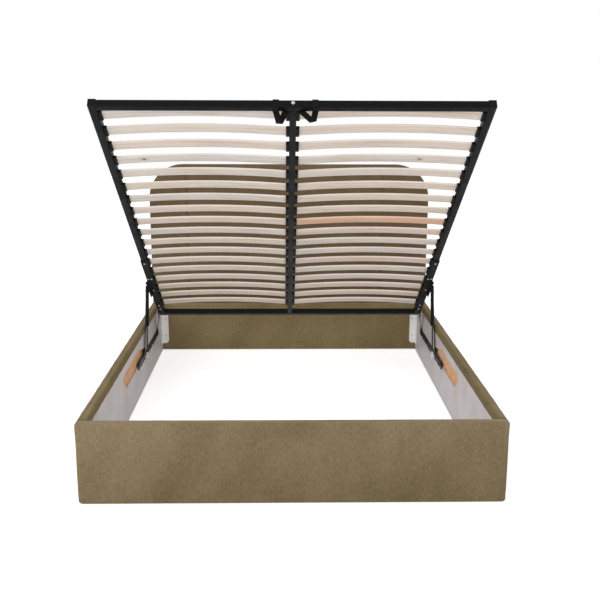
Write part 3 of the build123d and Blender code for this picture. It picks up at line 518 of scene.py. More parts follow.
@dataclass(frozen=True)
class BareBoard:
    """Unlined board where the recess is milled into it: rough, warm, short grain."""

    pale: Colour = paint(250, 214, 180)
    middle: Colour = paint(236, 188, 148)
    deep: Colour = paint(200, 158, 110)
    stops: Point = (0.15, 0.48, 0.85)
    chip_scale: Point = (150.0, 70.0, 190.0)
    chip_share: float = 0.34
    chip_height: float = 0.6
    streaks: Cloud = Cloud((30.0, 7.0, 60.0), 4.0, 0.6, share=0.5)
    stains: Cloud = Cloud(13.0, share=0.5)
    tone_drop: float = 0.18
    roughness: float = 0.82
    relief: Pair = (0.0009, 0.8)
    name: str = "bare_board"

    def make(self) -> bpy.types.Material:
        """Flattened chips over long streaks.

        Returns:
            The material.
        """
        s = Shader.material(self.name)
        place = s.here()
        chip = s.chips(s.scaled(place, self.chip_scale))
        streak = s.noise(place, self.streaks)
        tone = (chip * self.chip_share + streak * self.streaks.share
                + s.noise(place, self.stains) * self.stains.share - self.tone_drop)
        colour = s.graded(tone, self.stops, self.deep, self.middle, self.pale)
        height = chip * self.chip_height + streak
        return s.surface(colour, self.roughness, s.bump(height, *self.relief),
                         Specular_IOR_Level=0.25)


@dataclass(frozen=True)
class PowderCoat:
    """Baked powder on steel, with a fine orange peel and dust."""

    base: Colour = paint(5, 4, 6)
    dusty: Colour = paint(27, 24, 27)
    shine: float = 0.12
    name: str = "black_powder_coat"
    peel: Cloud = Cloud(950.0)
    grain: Cloud = Cloud(1900.0, 1.0)
    drifts: Cloud = Cloud(14.0, 3.0, span=(0.42, 0.72), share=0.10)
    specks: Cloud = Cloud(700.0, span=(0.60, 0.72), share=0.5)
    heights: Pair = (0.8, 0.3)
    roughness: Point = (0.40, 0.16, 0.08)
    relief: Pair = (0.00022, 0.55)

    def make(self) -> bpy.types.Material:
        """Peel of about a millimetre, and thin dust in drifts.

        Returns:
            The material.
        """
        s = Shader.material(self.name)
        place = s.here()
        peel = s.noise(place, self.peel)
        drift = s.patches(place, self.drifts)
        dust = self.drifts.share + s.patches(place, self.specks) * self.specks.share
        colour = s.mix(drift * dust, self.base, self.dusty)
        peel_high, grain_high = self.heights
        height = peel * peel_high + s.noise(place, self.grain) * grain_high
        plain, dulled, peeled = self.roughness
        return s.surface(colour, plain + dulled * drift + peeled * peel,
                         s.bump(height, *self.relief), Specular_IOR_Level=self.shine)


@dataclass(frozen=True)
class MouldedPlastic:
    """Matt moulded plastic with a spark-eroded grain."""

    base: Colour = paint(7, 7, 8)
    rubbed: Colour = paint(30, 29, 30)
    roughness: float = 0.52
    grain: float = 1500.0
    shine: float = 0.14
    name: str = "moulded_plastic"
    grain_roughness: float = 0.6
    wear: Cloud = Cloud(60.0, 3.0, span=(0.58, 0.75), share=0.3)
    dulled_by_pits: float = 0.12
    polished_by_wear: float = 0.1
    relief: Pair = (0.0002, 0.5)

    def make(self) -> bpy.types.Material:
        """Even grain and a few rubbed places.

        Returns:
            The material.
        """
        s = Shader.material(self.name)
        place = s.here()
        pits = s.noise(place, Cloud(self.grain, roughness=self.grain_roughness))
        wear = s.patches(place, self.wear)
        colour = s.mix(wear * self.wear.share, self.base, self.rubbed)
        rough = self.roughness + self.dulled_by_pits * pits - self.polished_by_wear * wear
        return s.surface(colour, rough, s.bump(pits, *self.relief),
                         Specular_IOR_Level=self.shine)


@dataclass(frozen=True)
class PlatedSteel:
    """Zinc-plated fasteners."""

    base: Colour = paint(205, 205, 202)
    dull: Colour = paint(150, 150, 150)
    clouding: Cloud = Cloud(240.0, 3.0, span=(0.45, 0.75), share=0.6)
    marks: Cloud = Cloud(900.0)
    roughness: Point = (0.30, 0.16, 0.06)
    relief: Pair = (0.00008, 0.5)
    name: str = "zinc_plate"

    def make(self) -> bpy.types.Material:
        """Cloudy plating with fine marks.

        Returns:
            The material.
        """
        s = Shader.material(self.name)
        place = s.here()
        cloud = s.noise(place, self.clouding)
        marks = s.noise(place, self.marks)
        dulled = cloud.ramp(*self.clouding.span) * self.clouding.share
        plain, clouded, marked = self.roughness
        return s.surface(s.mix(dulled, self.base, self.dull),
                         plain + clouded * cloud + marked * marks,
                         s.bump(marks, *self.relief), Metallic=1.0)


@dataclass(frozen=True)
class StrutRod:
    """Dark polished rod with a zinc-plated eye at its foot, coloured near white as a painted
    highlight.

    Foot is the eye's Y and Z, reach how far from there the plating goes.
    """

    dark: Colour = paint(20, 20, 23)
    eye_highlight_white: Colour = paint(252, 251, 249)
    dull: Colour = paint(228, 226, 223)
    foot: Pair = (0.284, 0.170)
    reach: float = 0.0240
    fade: float = 0.0015
    clouding: Cloud = Cloud(260.0, 3.0, span=(0.45, 0.75), share=0.5)
    marks: Cloud = Cloud(900.0)
    roughness: Point = (0.26, 0.12, 0.14)
    relief: Pair = (0.00008, 0.5)
    name: str = "strut_rod_and_eye"

    def make(self) -> bpy.types.Material:
        """Plating within reach of the eye's middle, painted near white as a painted highlight, and
        the dark rod above it.

        Returns:
            The material.
        """
        s = Shader.material(self.name)
        place = s.here()
        _, y, z = s.parts(place)
        far = (y - self.foot[0]).diagonal(z - self.foot[1])
        # Mask of the eye's plating, whose near-white colour is a painted highlight
        plated = far.ramp(self.reach + self.fade, self.reach - self.fade)
        cloud = s.noise(place, self.clouding)
        dulled = cloud.ramp(*self.clouding.span) * self.clouding.share
        colour = s.mix(plated, self.dark, s.mix(dulled, self.eye_highlight_white, self.dull))
        plain, clouded, zinc = self.roughness
        return s.surface(colour, plain + clouded * cloud + zinc * plated,
                         s.bump(s.noise(place, self.marks), *self.relief),
                         Specular_IOR_Level=0.5)


@dataclass(frozen=True)
class SlatBirch:
    """Bent laminated birch: long grain, a tone for each slat, ply lines at its edges.

    The scales run along the slat, round its section and with its tone.
    """

    grey: Colour = paint(238, 233, 228)
    beige: Colour = paint(243, 231, 216)
    pink: Colour = paint(243, 226, 215)
    orange: Colour = paint(240, 194, 163)
    vein: Colour = paint(194, 166, 141)
    sanded: Colour = paint(253, 247, 239)
    knot: Colour = paint(112, 92, 66)
    stops: Tuple[float, ...] = (0.0, 0.35, 0.68, 1.0)
    drift: Cloud = Cloud((4.2, 9.0, 13.0), share=0.55)
    bend: Cloud = Cloud((2.5, 4.0, 29.0), 1.0, share=0.012)
    streaks: Cloud = Cloud((4.0, 210.0, 17.0), 5.0, 0.68, (0.44, 0.70), 0.66)
    pores: Cloud = Cloud((38.0, 1500.0, 1.0), span=(0.55, 0.8), share=0.16)
    knot_size: Pair = (0.009, 0.0055)
    knot_core: Pair = (1.3, 0.35)
    knot_ring: Pair = (3.4, 1.2)
    knot_ring_share: float = 0.35
    plies: float = 5.0
    ply_start: float = 0.25
    ply_span: Pair = (0.3, 0.9)
    ply_share: float = 0.22
    sanded_share: float = 0.3
    heights: Point = (0.7, 0.3, 0.4)
    roughness: Pair = (0.50, 0.16)
    relief: Pair = (0.0004, 0.4)
    name: str = "slat_birch"

    def make(self) -> bpy.types.Material:
        """Grain on the slats' UV map: along the slat, and round its section.

        Returns:
            The material.
        """
        s = Shader.material(self.name)
        along, around = s.laid("grain")
        tone = s.told("tone")
        sheet = s.vector(along, around, tone)
        warm = tone + (s.noise(sheet, self.drift) - NOISE_MEAN) * self.drift.share
        colour = s.graded(warm, self.stops, self.grey, self.beige, self.pink, self.orange)
        bend = s.noise(sheet, self.bend) * self.bend.share
        streak = s.noise(s.vector(along, around + bend, tone), self.streaks)
        pore = s.noise(sheet, self.pores)
        veined = (streak.ramp(*self.streaks.span) * self.streaks.share
                  + pore.ramp(*self.pores.span) * self.pores.share)
        colour = s.mix(veined, colour, self.vein)
        spot_along, spot_around, spot = s.parts(s.told("knot", 1))
        long, wide = self.knot_size
        far = ((along - spot_along) / long).diagonal((around - spot_around) / wide)
        core = far.ramp(*self.knot_core) * spot
        ring = far.ramp(*self.knot_ring) * spot * self.knot_ring_share
        colour = s.mix(ring.at_most(1.0), colour, self.vein)
        colour = s.mix(core.at_most(1.0), colour, self.knot)
        ply = (s.told("edge") * self.plies + self.ply_start).wave(1.0).ramp(*self.ply_span)
        rim = s.told("rim")
        colour = s.mix(rim * self.sanded_share, colour, self.sanded)
        colour = s.mix(ply * rim * self.ply_share, colour, self.vein)
        streak_high, pore_high, knot_low = self.heights
        height = streak * streak_high + pore * pore_high - core * knot_low
        plain, streaked = self.roughness
        return s.surface(colour, plain + streaked * streak, s.bump(height, *self.relief),
                         Specular_IOR_Level=0.35)


@dataclass(frozen=True)
class SawnTimber:
    """Planed softwood of the battens, its grain along X."""

    pale: Colour = paint(226, 200, 158)
    dark: Colour = paint(190, 152, 104)
    warp: Cloud = Cloud((3.0, 20.0, 20.0), share=0.012)
    fibre: Cloud = Cloud((14.0, 700.0, 700.0), 3.0, share=0.25)
    ring_pitch: float = 0.0048
    ring_slope: float = 0.8
    ring_share: float = 0.6
    ring_height: float = 0.4
    roughness: Pair = (0.66, 0.1)
    relief: Pair = (0.0005, 0.5)
    name: str = "planed_softwood"

    def make(self) -> bpy.types.Material:
        """Growth rings cut lengthwise.

        Returns:
            The material.
        """
        s = Shader.material(self.name)
        place = s.here()
        _, y, z = s.parts(place)
        warped = y * self.ring_slope + z + s.noise(place, self.warp) * self.warp.share
        rings = warped.swell(self.ring_pitch)
        fibre = s.noise(place, self.fibre)
        shade = rings ** 2.0 * self.ring_share + fibre * self.fibre.share
        plain, fibrous = self.roughness
        return s.surface(s.mix(shade, self.pale, self.dark), plain + fibrous * fibre,
                         s.bump(fibre + rings * self.ring_height, *self.relief))


@dataclass(frozen=True)
class WovenWebbing:
    """Black strap webbing with a herringbone weave."""

    base: Colour = paint(7, 7, 8)
    lit: Colour = paint(25, 24, 27)
    twill_pitch: float = 0.0019
    twill_slant: float = 0.9
    warp_pitch: float = 0.0012
    fuzz: Cloud = Cloud((2200.0, 2200.0, 0.0))
    heights: Point = (0.6, 0.25, 0.3)
    lit_span: Pair = (0.35, 1.0)
    lit_share: float = 0.7
    roughness: float = 0.8
    relief: Pair = (0.0005, 0.8)
    name: str = "strap_webbing"

    def make(self) -> bpy.types.Material:
        """Two slants that meet in the strap's middle, on its UV map.

        Returns:
            The material.
        """
        s = Shader.material(self.name)
        along, across = s.laid("weave")
        twill = (along + across.size() * self.twill_slant).swell(self.twill_pitch)
        warp = across.swell(self.warp_pitch)
        fuzz = s.noise(s.vector(along, across), self.fuzz)
        twill_high, warp_high, fuzz_high = self.heights
        height = twill * twill_high + warp * warp_high + fuzz * fuzz_high
        colour = s.mix(height.ramp(*self.lit_span) * self.lit_share, self.base, self.lit)
        return s.surface(colour, self.roughness, s.bump(height, *self.relief),
                         Sheen_Weight=0.03, Specular_IOR_Level=0.15)


@dataclass(frozen=True)
class SpunBacking:
    """Dark spun-bonded cloth over the headboard's back, with its pressed dots."""

    base: Colour = paint(44, 42, 41)
    pale: Colour = paint(70, 67, 64)
    pitch: float = 0.0032
    dots: Pair = (0.2, 0.8)
    dot_share: float = 0.4
    fibre: Cloud = Cloud((160.0, 1.0, 320.0), 4.0, 0.7, (0.35, 0.75), 0.5)
    clouding: Cloud = Cloud(9.0, 3.0, share=0.25)
    fibre_height: float = 0.5
    roughness: float = 0.9
    relief: Pair = (0.0004, 0.6)
    name: str = "spun_backing"

    def make(self) -> bpy.types.Material:
        """A grid of pressed dots, and cloudy fibres.

        Returns:
            The material.
        """
        s = Shader.material(self.name)
        place = s.here()
        x, _, z = s.parts(place)
        dots = (x.wave(self.pitch) * z.wave(self.pitch)).ramp(*self.dots)
        fibre = s.noise(place, self.fibre)
        shade = (fibre.ramp(*self.fibre.span) * self.fibre.share
                 + s.noise(place, self.clouding) * self.clouding.share)
        colour = s.mix(dots * self.dot_share, s.mix(shade, self.base, self.pale), self.base)
        height = fibre * self.fibre_height - dots
        return s.surface(colour, self.roughness, s.bump(height, *self.relief),
                         Specular_IOR_Level=0.2)


@dataclass(frozen=True)
class FibrePanel:
    """Brown filled panel inside the headboard, seen only at its floor edge."""

    pale: Colour = paint(188, 158, 122)
    deep: Colour = paint(146, 118, 86)
    fibre: Cloud = Cloud((90.0, 200.0, 90.0), 4.0, 0.7, (0.3, 0.7))
    roughness: float = 0.9
    relief: Pair = (0.0005, 0.6)
    name: str = "filled_panel"

    def make(self) -> bpy.types.Material:
        """Short pressed fibres.

        Returns:
            The material.
        """
        s = Shader.material(self.name)
        fibre = s.noise(s.here(), self.fibre)
        colour = s.mix(fibre.ramp(*self.fibre.span), self.deep, self.pale)
        return s.surface(colour, self.roughness, s.bump(fibre, *self.relief))


class PaintedLightCopy(Enum):
    """Which copy of the cover's cloth a panel takes; the copies carry painted light and painted
    shade.
    """

    FOOT = "foot"
    SIDE = "side"
    HEAD = "head"
    HEADBOARD = "headboard"


class Finishes:
    """Every finish of the bed, made once, by the record's material slot."""

    def __init__(self) -> None:
        """Make the materials."""
        rubber = MouldedPlastic(paint(30, 29, 28), paint(62, 60, 58), 0.82, 900.0, 0.15,
                                "pad_rubber")
        glide = MouldedPlastic(paint(54, 52, 50), paint(90, 88, 84), 0.5, 1100.0, 0.4,
                               "glide_plastic")
        white = PowderCoat(paint(254, 252, 251), paint(243, 240, 238), 0.9, "white_powder_coat")
        looks = {
            "cover_fabric": RibbedChenille(), "lining_board": CoatedBoard(),
            "core_wood": BareBoard(), "headboard_filling": FibrePanel(),
            "backing_cloth": SpunBacking(), "zinc_screws": PlatedSteel(),
            "white_steel": white, "ledge_wood": SawnTimber(), "pad_rubber": rubber,
            "glide_plastic": glide, "black_steel": PowderCoat(),
            "zinc_pins": PlatedSteel(name="zinc_pins"), "rod_steel": StrutRod(),
            "black_plastic": MouldedPlastic(), "slat_wood": SlatBirch(),
            "webbing": WovenWebbing(),
        }
        # Copies of the cloth with painted shade for the side rails and the headboard, and painted
        # light for the head rail
        painted_light_copies = {
            PaintedLightCopy.SIDE: RibbedChenille(paint(150, 134, 100), paint(119, 104, 72),
                                        paint(82, 69, 43), name="chenille_side"),
            PaintedLightCopy.HEAD: RibbedChenille(paint(176, 159, 120), paint(147, 130, 93),
                                        paint(112, 97, 65), name="chenille_head"),
            PaintedLightCopy.HEADBOARD: RibbedChenille(paint(127, 109, 84), paint(99, 82, 60),
                                             paint(70, 56, 38), name="chenille_board"),
        }
        self.by_slot: Dict[str, bpy.types.Material] = {
            slot: look.make() for slot, look in looks.items()}
        # The copies with painted light and shade, by panel; the foot rail takes the plain cloth
        self.cloth: Dict[PaintedLightCopy, bpy.types.Material] = {
            painted_light_copy: look.make() for painted_light_copy, look in painted_light_copies.items()}
        self.cloth[PaintedLightCopy.FOOT] = self.by_slot["cover_fabric"]
        self.slot_of: Dict[str, str] = {part["node"]: part["material_slot"]
                                        for part in frame["record"]["subparts"]}


# Surfaces worked out on grids


def quarter(steps: int) -> np.ndarray:
    """The angles of a quarter circle, in equal steps."""
    return np.linspace(0, RIGHT_ANGLE, steps + 1)


def grid_faces(rows: int, columns: int, blocks: int = 1) -> np.ndarray:
    """Corner numbers of the quads between neighbouring rows and columns of each block.

    Args:
        rows: Rows of points.
        columns: Points in a row.
        blocks: How many such grids follow one another.

    Returns:
        Four point numbers for each quad.
    """
    row = np.arange(rows - 1)[:, None] * columns
    column = np.arange(columns - 1)[None, :]
    start = (row + column).ravel()
    quad = np.stack([start, start + 1, start + columns + 1, start + columns], -1)
    shift = np.arange(blocks)[:, None, None] * rows * columns
    return (quad[None] + shift).reshape(-1, 4)


def grid_piece(name: str, points: np.ndarray, flat: np.ndarray, map_name: str,
               keep: Optional[np.ndarray] = None,
               carried: Optional[Dict[str, np.ndarray]] = None,
               outwards: bool = True) -> bpy.types.Object:
    """Make a mesh from grids of points, with its seams and poles closed.

    Args:
        name: Name of the piece.
        points: Positions, as blocks x rows x columns x 3 or rows x columns x 3.
        flat: A UV place for each point, in metres.
        map_name: Name of the UV map.
        keep: Which quads stay, in the order of grid_faces.
        carried: Numbers or vectors at each point, by attribute name.
        outwards: Whether the normals are worked out again after the doubles are merged.

    Returns:
        The new object, at the origin.
    """
    blocks, rows, columns = (1, *points.shape[:2]) if points.ndim == 3 else points.shape[:3]
    quads = grid_faces(rows, columns, blocks)
    if keep is not None:
        quads = quads[keep.ravel()]
    used, numbers = np.unique(quads, return_inverse=True)
    quads = numbers.reshape(quads.shape)
    mesh = bpy.data.meshes.new(name)
    mesh.vertices.add(len(used))
    mesh.vertices.foreach_set("co", points.reshape(-1, 3)[used].astype(np.float32).ravel())
    mesh.loops.add(quads.size)
    mesh.loops.foreach_set("vertex_index", quads.astype(np.int32).ravel())
    mesh.polygons.add(len(quads))
    mesh.polygons.foreach_set("loop_start", np.arange(0, quads.size, 4, dtype=np.int32))
    mesh.update(calc_edges=True)
    layer = mesh.uv_layers.new(name=map_name)
    places = flat.reshape(-1, 2)[used][quads.ravel()]
    layer.uv.foreach_set("vector", places.astype(np.float32).ravel())
    for key, values in (carried or {}).items():
        is_vector = values.ndim == points.ndim
        kind, slot = ("FLOAT_VECTOR", "vector") if is_vector else ("FLOAT", "value")
        values = values.reshape(-1, 3 if is_vector else 1)[used]
        mesh.attributes.new(key, kind, "POINT").data.foreach_set(
            slot, values.astype(np.float32).ravel())
    mesh.validate()
    shape = bmesh.new()
    shape.from_mesh(mesh)
    bmesh.ops.remove_doubles(shape, verts=shape.verts, dist=WELD)
    bmesh.ops.dissolve_degenerate(shape, edges=shape.edges, dist=TOUCHING)
    if outwards:
        bmesh.ops.recalc_face_normals(shape, faces=shape.faces)
    shape.to_mesh(mesh)
    shape.free()
    return placed(name, mesh, DRAWN_EDGE)


def placed(name: str, mesh: bpy.types.Mesh, sharp_past: float) -> bpy.types.Object:
    """Put a mesh into the scene.

    Args:
        name: Name of the piece.
        mesh: Its mesh.
        sharp_past: Smallest angle between faces, in degrees, that stays sharp.

    Returns:
        The object, at the origin and shaded smooth.
    """
    mesh.polygons.foreach_set("use_smooth", np.ones(len(mesh.polygons), bool))
    mesh.set_sharp_from_angle(angle=math.radians(sharp_past))
    return linked(name, mesh)


def linked(name: str, data: bpy.types.ID) -> bpy.types.Object:
    """Link a new object to the scene.

    Args:
        name: Name of the object.
        data: Its mesh, camera or light.

    Returns:
        The object, at the origin.
    """
    item = bpy.data.objects.new(name, data)
    bpy.context.scene.collection.objects.link(item)
    return item


def joined(name: str, *pieces: bpy.types.Object) -> bpy.types.Object:
    """Make one mesh from several whose edges meet, and remove them.

    Args:
        name: Name of the new piece.
        pieces: The pieces.

    Returns:
        The new object.
    """
    shape = bmesh.new()
    for piece in pieces:
        shape.from_mesh(piece.data)
    bmesh.ops.remove_doubles(shape, verts=shape.verts, dist=2 * WELD)
    bmesh.ops.recalc_face_normals(shape, faces=shape.faces)
    mesh = bpy.data.meshes.new(name)
    shape.to_mesh(mesh)
    shape.free()
    for piece in pieces:
        bpy.data.objects.remove(piece)
    return placed(name, mesh, SEWN_EDGE)


def thickened(piece: bpy.types.Object, thickness: float,
              inwards: bool = True) -> bpy.types.Object:
    """Give an open shell a wall.

    Args:
        piece: The shell.
        thickness: Thickness of the wall.
        inwards: Whether the wall grows on the inner side alone, or half on each side.

    Returns:
        The same object.
    """
    wall = piece.modifiers.new("wall", "SOLIDIFY")
    wall.thickness = thickness
    wall.offset = -1.0 if inwards else 0.0
    wall.use_even_offset = inwards
    return piece


def sheet_map(along: np.ndarray, across: np.ndarray) -> np.ndarray:
    """UV places from two coordinates, each repeated to the shape that they share."""
    return np.stack(np.broadcast_arrays(along, across), -1)


def ripple(first: np.ndarray, second: np.ndarray, pitch: float, seed: int) -> np.ndarray:
    """Soft unevenness from -1 to 1: the raised mean of plane waves of about one pitch.

    Args:
        first: First coordinate, in metres.
        second: Second coordinate, in metres.
        pitch: Typical wave length, in metres.
        seed: Which set of directions and phases.

    Returns:
        One number for each pair of coordinates.
    """
    waves, raised = 7, 1.6
    shortest, longest = 0.7, 1.6
    dice = np.random.default_rng(seed)
    way = dice.uniform(0, FULL_TURN, waves)
    speed = FULL_TURN / (pitch * dice.uniform(shortest, longest, waves))
    phase = dice.uniform(0, FULL_TURN, waves)
    turn = (first[..., None] * np.cos(way) + second[..., None] * np.sin(way)) * speed + phase
    return np.sin(turn).mean(-1) * raised


def in_order(stations: np.ndarray) -> np.ndarray:
    """Stations in order, each once, to the micrometre."""
    return np.unique(np.round(stations, decimals=6))


def spread(low: float, high: float, step: float, *also: float) -> np.ndarray:
    """Even stations along a line.

    Args:
        low: First station.
        high: Last station.
        step: Greatest distance between two.
        also: Stations that are added.

    Returns:
        The stations in order.
    """
    count = max(2, int(math.ceil((high - low) / step)) + 1)
    return in_order(np.concatenate([np.linspace(low, high, count), np.array(also, float)]))


def capped(low: float, high: float, step: float) -> Tuple[np.ndarray, np.ndarray]:
    """Stations of a section that is closed at both ends, where it shrinks to a point.

    Args:
        low: First station.
        high: Last station.
        step: Greatest distance between two.

    Returns:
        The stations, both ends twice, and the section's size at each.
    """
    run = spread(low, high, step)
    run = np.concatenate([run[:1], run, run[-1:]])
    size = np.ones(len(run))
    size[[0, -1]] = 0
    return run, size


def box_section(wide: float, high: float, radius: float, steps: int = 5) -> np.ndarray:
    """A rectangle with round corners, as a closed ring about its middle.

    Each corner is a quarter circle of equal steps; the ring starts and ends at one point.

    Args:
        wide: Full width.
        high: Full height.
        radius: Corner radius.
        steps: Steps in each quarter circle.

    Returns:
        Points x 2, the first repeated at the end.
    """
    turn = quarter(steps)[None, :] + np.arange(4)[:, None] * RIGHT_ANGLE
    side = np.array([[1, 1], [-1, 1], [-1, -1], [1, -1]], float)
    middle = side * [wide / 2 - radius, high / 2 - radius]
    ring = middle[:, None, :] + radius * np.stack([np.cos(turn), np.sin(turn)], -1)
    ring = ring.reshape(-1, 2)
    return np.concatenate([ring, ring[:1]])


def distance_round(ring: np.ndarray) -> np.ndarray:
    """Length from the start of a line of points to each of them."""
    steps = np.linalg.norm(np.diff(ring, axis=0), axis=1)
    return np.concatenate([[0.0], np.cumsum(steps)])


# What every sub-assembly does


@dataclass
class SubAssembly:
    """A group of pieces with the finishes that they share."""

    finishes: Finishes

    def show(self, piece: bpy.types.Object, slot: str, body: str, *nodes: str,
             painted_light_copy: Optional[PaintedLightCopy] = None) -> bpy.types.Object:
        """Dress a new piece, put it on its body and let it stand for its solids.

        Args:
            piece: The new object.
            slot: Material slot of the record.
            body: Body that it rides on.
            nodes: Solids that it stands for.
            painted_light_copy: Which copy of the cloth, with its painted light and shade, a piece
                of the cover takes.

        Returns:
            The same object.
        """
        finish = self.finishes.cloth[painted_light_copy] if painted_light_copy else self.finishes.by_slot[slot]
        piece.data.materials.clear()
        piece.data.materials.append(finish)
        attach(piece, body)
        if nodes:
            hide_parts(*nodes)
        log.info("%s: %d faces on %s", piece.name, len(piece.data.polygons), body)
        return piece

    def finish_node(self, *nodes: str) -> None:
        """Give solids that stay in view their finish.

        Args:
            nodes: The solids.
        """
        for node in nodes:
            solid = frame["nodes"][node]
            solid.data.materials.clear()
            solid.data.materials.append(self.finishes.by_slot[self.finishes.slot_of[node]])
            log.info("%s: finish only", node)

    def ease(self, width: float, *nodes: str, past: float = CUT_EDGE) -> None:
        """Replace solids by merged copies with broken edges.

        Args:
            width: Width of the broken edge, in metres.
            nodes: Solids to replace.
            past: Smallest angle between faces, in degrees, that counts as an edge.
        """
        for node in nodes:
            solid = frame["nodes"][node]
            shape = bmesh.new()
            shape.from_mesh(solid.data)
            bmesh.ops.remove_doubles(shape, verts=shape.verts, dist=TOUCHING)
            bmesh.ops.dissolve_limit(shape, angle_limit=math.radians(FLAT_BELOW),
                                     verts=shape.verts, edges=shape.edges)
            mesh = bpy.data.meshes.new(node + "_eased")
            shape.to_mesh(mesh)
            shape.free()
            piece = placed(node + "_eased", mesh, past)
            edge = piece.modifiers.new("eased edges", "BEVEL")
            edge.width = width
            edge.segments = EDGE_STEPS
            edge.limit_method = "ANGLE"
            edge.angle_limit = math.radians(past)
            edge.use_clamp_overlap = True
            edge.harden_normals = True
            self.show(piece, self.finishes.slot_of[node], solid["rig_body"], node)


@dataclass
class Cover(SubAssembly):
    """Fabric drawn over boards, as large as the box of its own solid."""

    node: str
    low: np.ndarray = field(init=False)
    high: np.ndarray = field(init=False)
    half: np.ndarray = field(init=False)

    def __post_init__(self) -> None:
        """Read the box of the cover's solid."""
        self.low, self.high = (np.array(corner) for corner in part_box(self.node))
        self.half = (self.high - self.low) / 2


# Upholstered rails


class LinedFace(Enum):
    """Which face of a rail carries the lining board, below the cover's return."""

    NONE = 0
    TOWARDS_HEAD = 1
    TOWARDS_RIGHT = 2
    TOWARDS_LEFT = 3


@dataclass
class RailCover(Cover):
    """One rail's fabric cover, drawn over its board.

    The corner radii run round the plan from the right corner at the foot.
    """

    lined: LinedFace = LinedFace.NONE
    corner_radii: Tuple[float, float, float, float] = (0.0015, 0.0015, 0.0015, 0.0015)
    edge_radius: float = 0.010
    under_radius: float = 0.006
    turn_under: float = 0.012
    hem_height: float = 0.291
    hem_slack: float = 0.0001
    lining_half: float = 0.780
    lining_bite: float = 0.0035
    wall: float = 0.003
    unevenness: float = 0.0007
    uneven_pitches: Pair = (0.09, 0.31)
    uneven_shares: Pair = (1.0, 0.8)
    uneven_rise: float = 0.03
    edge_band: float = 0.025
    mesh_step: float = 0.022
    arc_steps: int = 6
    top_steps: int = 4
    seed: int = 1
    long_seed: int = 7
    # Which copy of the cloth the cover takes, with its painted light and shade
    painted_light_copy: PaintedLightCopy = PaintedLightCopy.FOOT

    def profile(self) -> np.ndarray:
        """Inset and height of each row, from under the rail, up its side and over its top.

        The lower and upper edges are quarter circles; the top closes at the middle line.

        Returns:
            Inset and height, row by row.
        """
        turn = quarter(self.arc_steps)
        low, high = self.low[2], self.high[2]
        small, large = self.under_radius, self.edge_radius
        under = np.stack([small * (1 - np.sin(turn)), low + small * (1 - np.cos(turn))], -1)
        hem = (self.hem_height,) if self.lined is not LinedFace.NONE else ()
        heights = spread(low + small, high - large, self.mesh_step, *hem)[1:-1]
        side = np.stack([np.zeros_like(heights), heights], -1)
        over = np.stack([large * (1 - np.cos(turn)), high - large * (1 - np.sin(turn))], -1)
        top = np.linspace(large, self.half[:2].min(), self.top_steps + 1)[1:]
        flat = np.stack([top, np.full_like(top, high)], -1)
        return np.concatenate([[[self.turn_under, low]], under, side, over, flat])

    def outline(self, insets: np.ndarray) -> np.ndarray:
        """The rail's plan, drawn in by each inset, as rows of points about its middle.

        Each corner is a quarter circle about a fixed centre while the inset is below its
        radius, and a point after that. Between corners lie even stations.

        Args:
            insets: How far each row is drawn in.

        Returns:
            X and Y of each point, rows x points x 2, the first repeated at the end.
        """
        half = self.half[:2]
        inner = max(self.corner_radii)
        joints = (self.lining_half, -self.lining_half)
        along_x = spread(inner - half[0], half[0] - inner, self.mesh_step,
                         *(joints if self.lined is LinedFace.TOWARDS_HEAD else ()))
        along_y = (spread(inner - half[1], half[1] - inner, self.mesh_step)
                   if half[1] > 2 * inner else np.zeros(0))
        blocks: List[np.ndarray] = []
        for number, corner in enumerate(((1, -1), (1, 1), (-1, 1), (-1, -1))):
            centre = np.maximum(self.corner_radii[number], insets)[:, None]
            radius = np.maximum(self.corner_radii[number] - insets, 0.0)[:, None]
            angle = quarter(self.arc_steps) + (number - 1) * RIGHT_ANGLE
            blocks.append(np.stack([corner[0] * (half[0] - centre) + radius * np.cos(angle),
                                    corner[1] * (half[1] - centre) + radius * np.sin(angle)],
                                   -1))
            axis = 1 - number % 2
            stations = (along_x, along_y)[axis][::1 if number in (0, 3) else -1]
            limit = (half[axis] - insets)[:, None]
            side = np.empty((len(insets), len(stations), 2))
            side[..., axis] = np.clip(stations, -limit, limit)
            side[..., 1 - axis] = (1 if number < 2 else -1) * (half[1 - axis] - insets)[:, None]
            blocks.append(side)
        ring = np.concatenate(blocks, 1)
        return np.concatenate([ring, ring[:, :1]], 1)

    def uneven(self, points: np.ndarray, plan: np.ndarray) -> np.ndarray:
        """How far the cloth stands out from its board.

        A short and a long ripple along the rail and up it, which fade in above the floor,
        push each point away from the plan's core.

        Args:
            points: The points of the cover.
            plan: Their X and Y about the rail's middle.

        Returns:
            A move along X and Y for each point.
        """
        x, y, z = (points[..., axis] for axis in range(3))
        short, long = self.uneven_pitches
        soft = (self.uneven_shares[0] * ripple(x + y, z, short, self.seed)
                + self.uneven_shares[1] * ripple(x - y, z, long, self.seed + self.long_seed))
        reach = np.clip((z - self.low[2]) / self.uneven_rise, 0, 1)
        core = self.half[:2] - self.edge_band
        outward = plan - np.clip(plan, -core, core)
        length = np.maximum(np.linalg.norm(outward, axis=-1, keepdims=True), TOUCHING)
        return outward / length * (soft * reach * self.unevenness)[..., None]

    def behind_lining(self, middle: np.ndarray) -> np.ndarray:
        """Find the faces that the lining board takes the place of.

        Args:
            middle: Middle of each face.

        Returns:
            True for each face that is left out.
        """
        x, y, z = (middle[..., axis] for axis in range(3))
        inner = {
            LinedFace.TOWARDS_HEAD: (y > self.high[1] - self.lining_bite)
            & (abs(x) < self.lining_half),
            LinedFace.TOWARDS_RIGHT: x > self.high[0] - self.lining_bite,
            LinedFace.TOWARDS_LEFT: x < self.low[0] + self.lining_bite,
            LinedFace.NONE: np.zeros(x.shape, bool),
        }[self.lined]
        return inner & (z < self.hem_height - self.hem_slack)

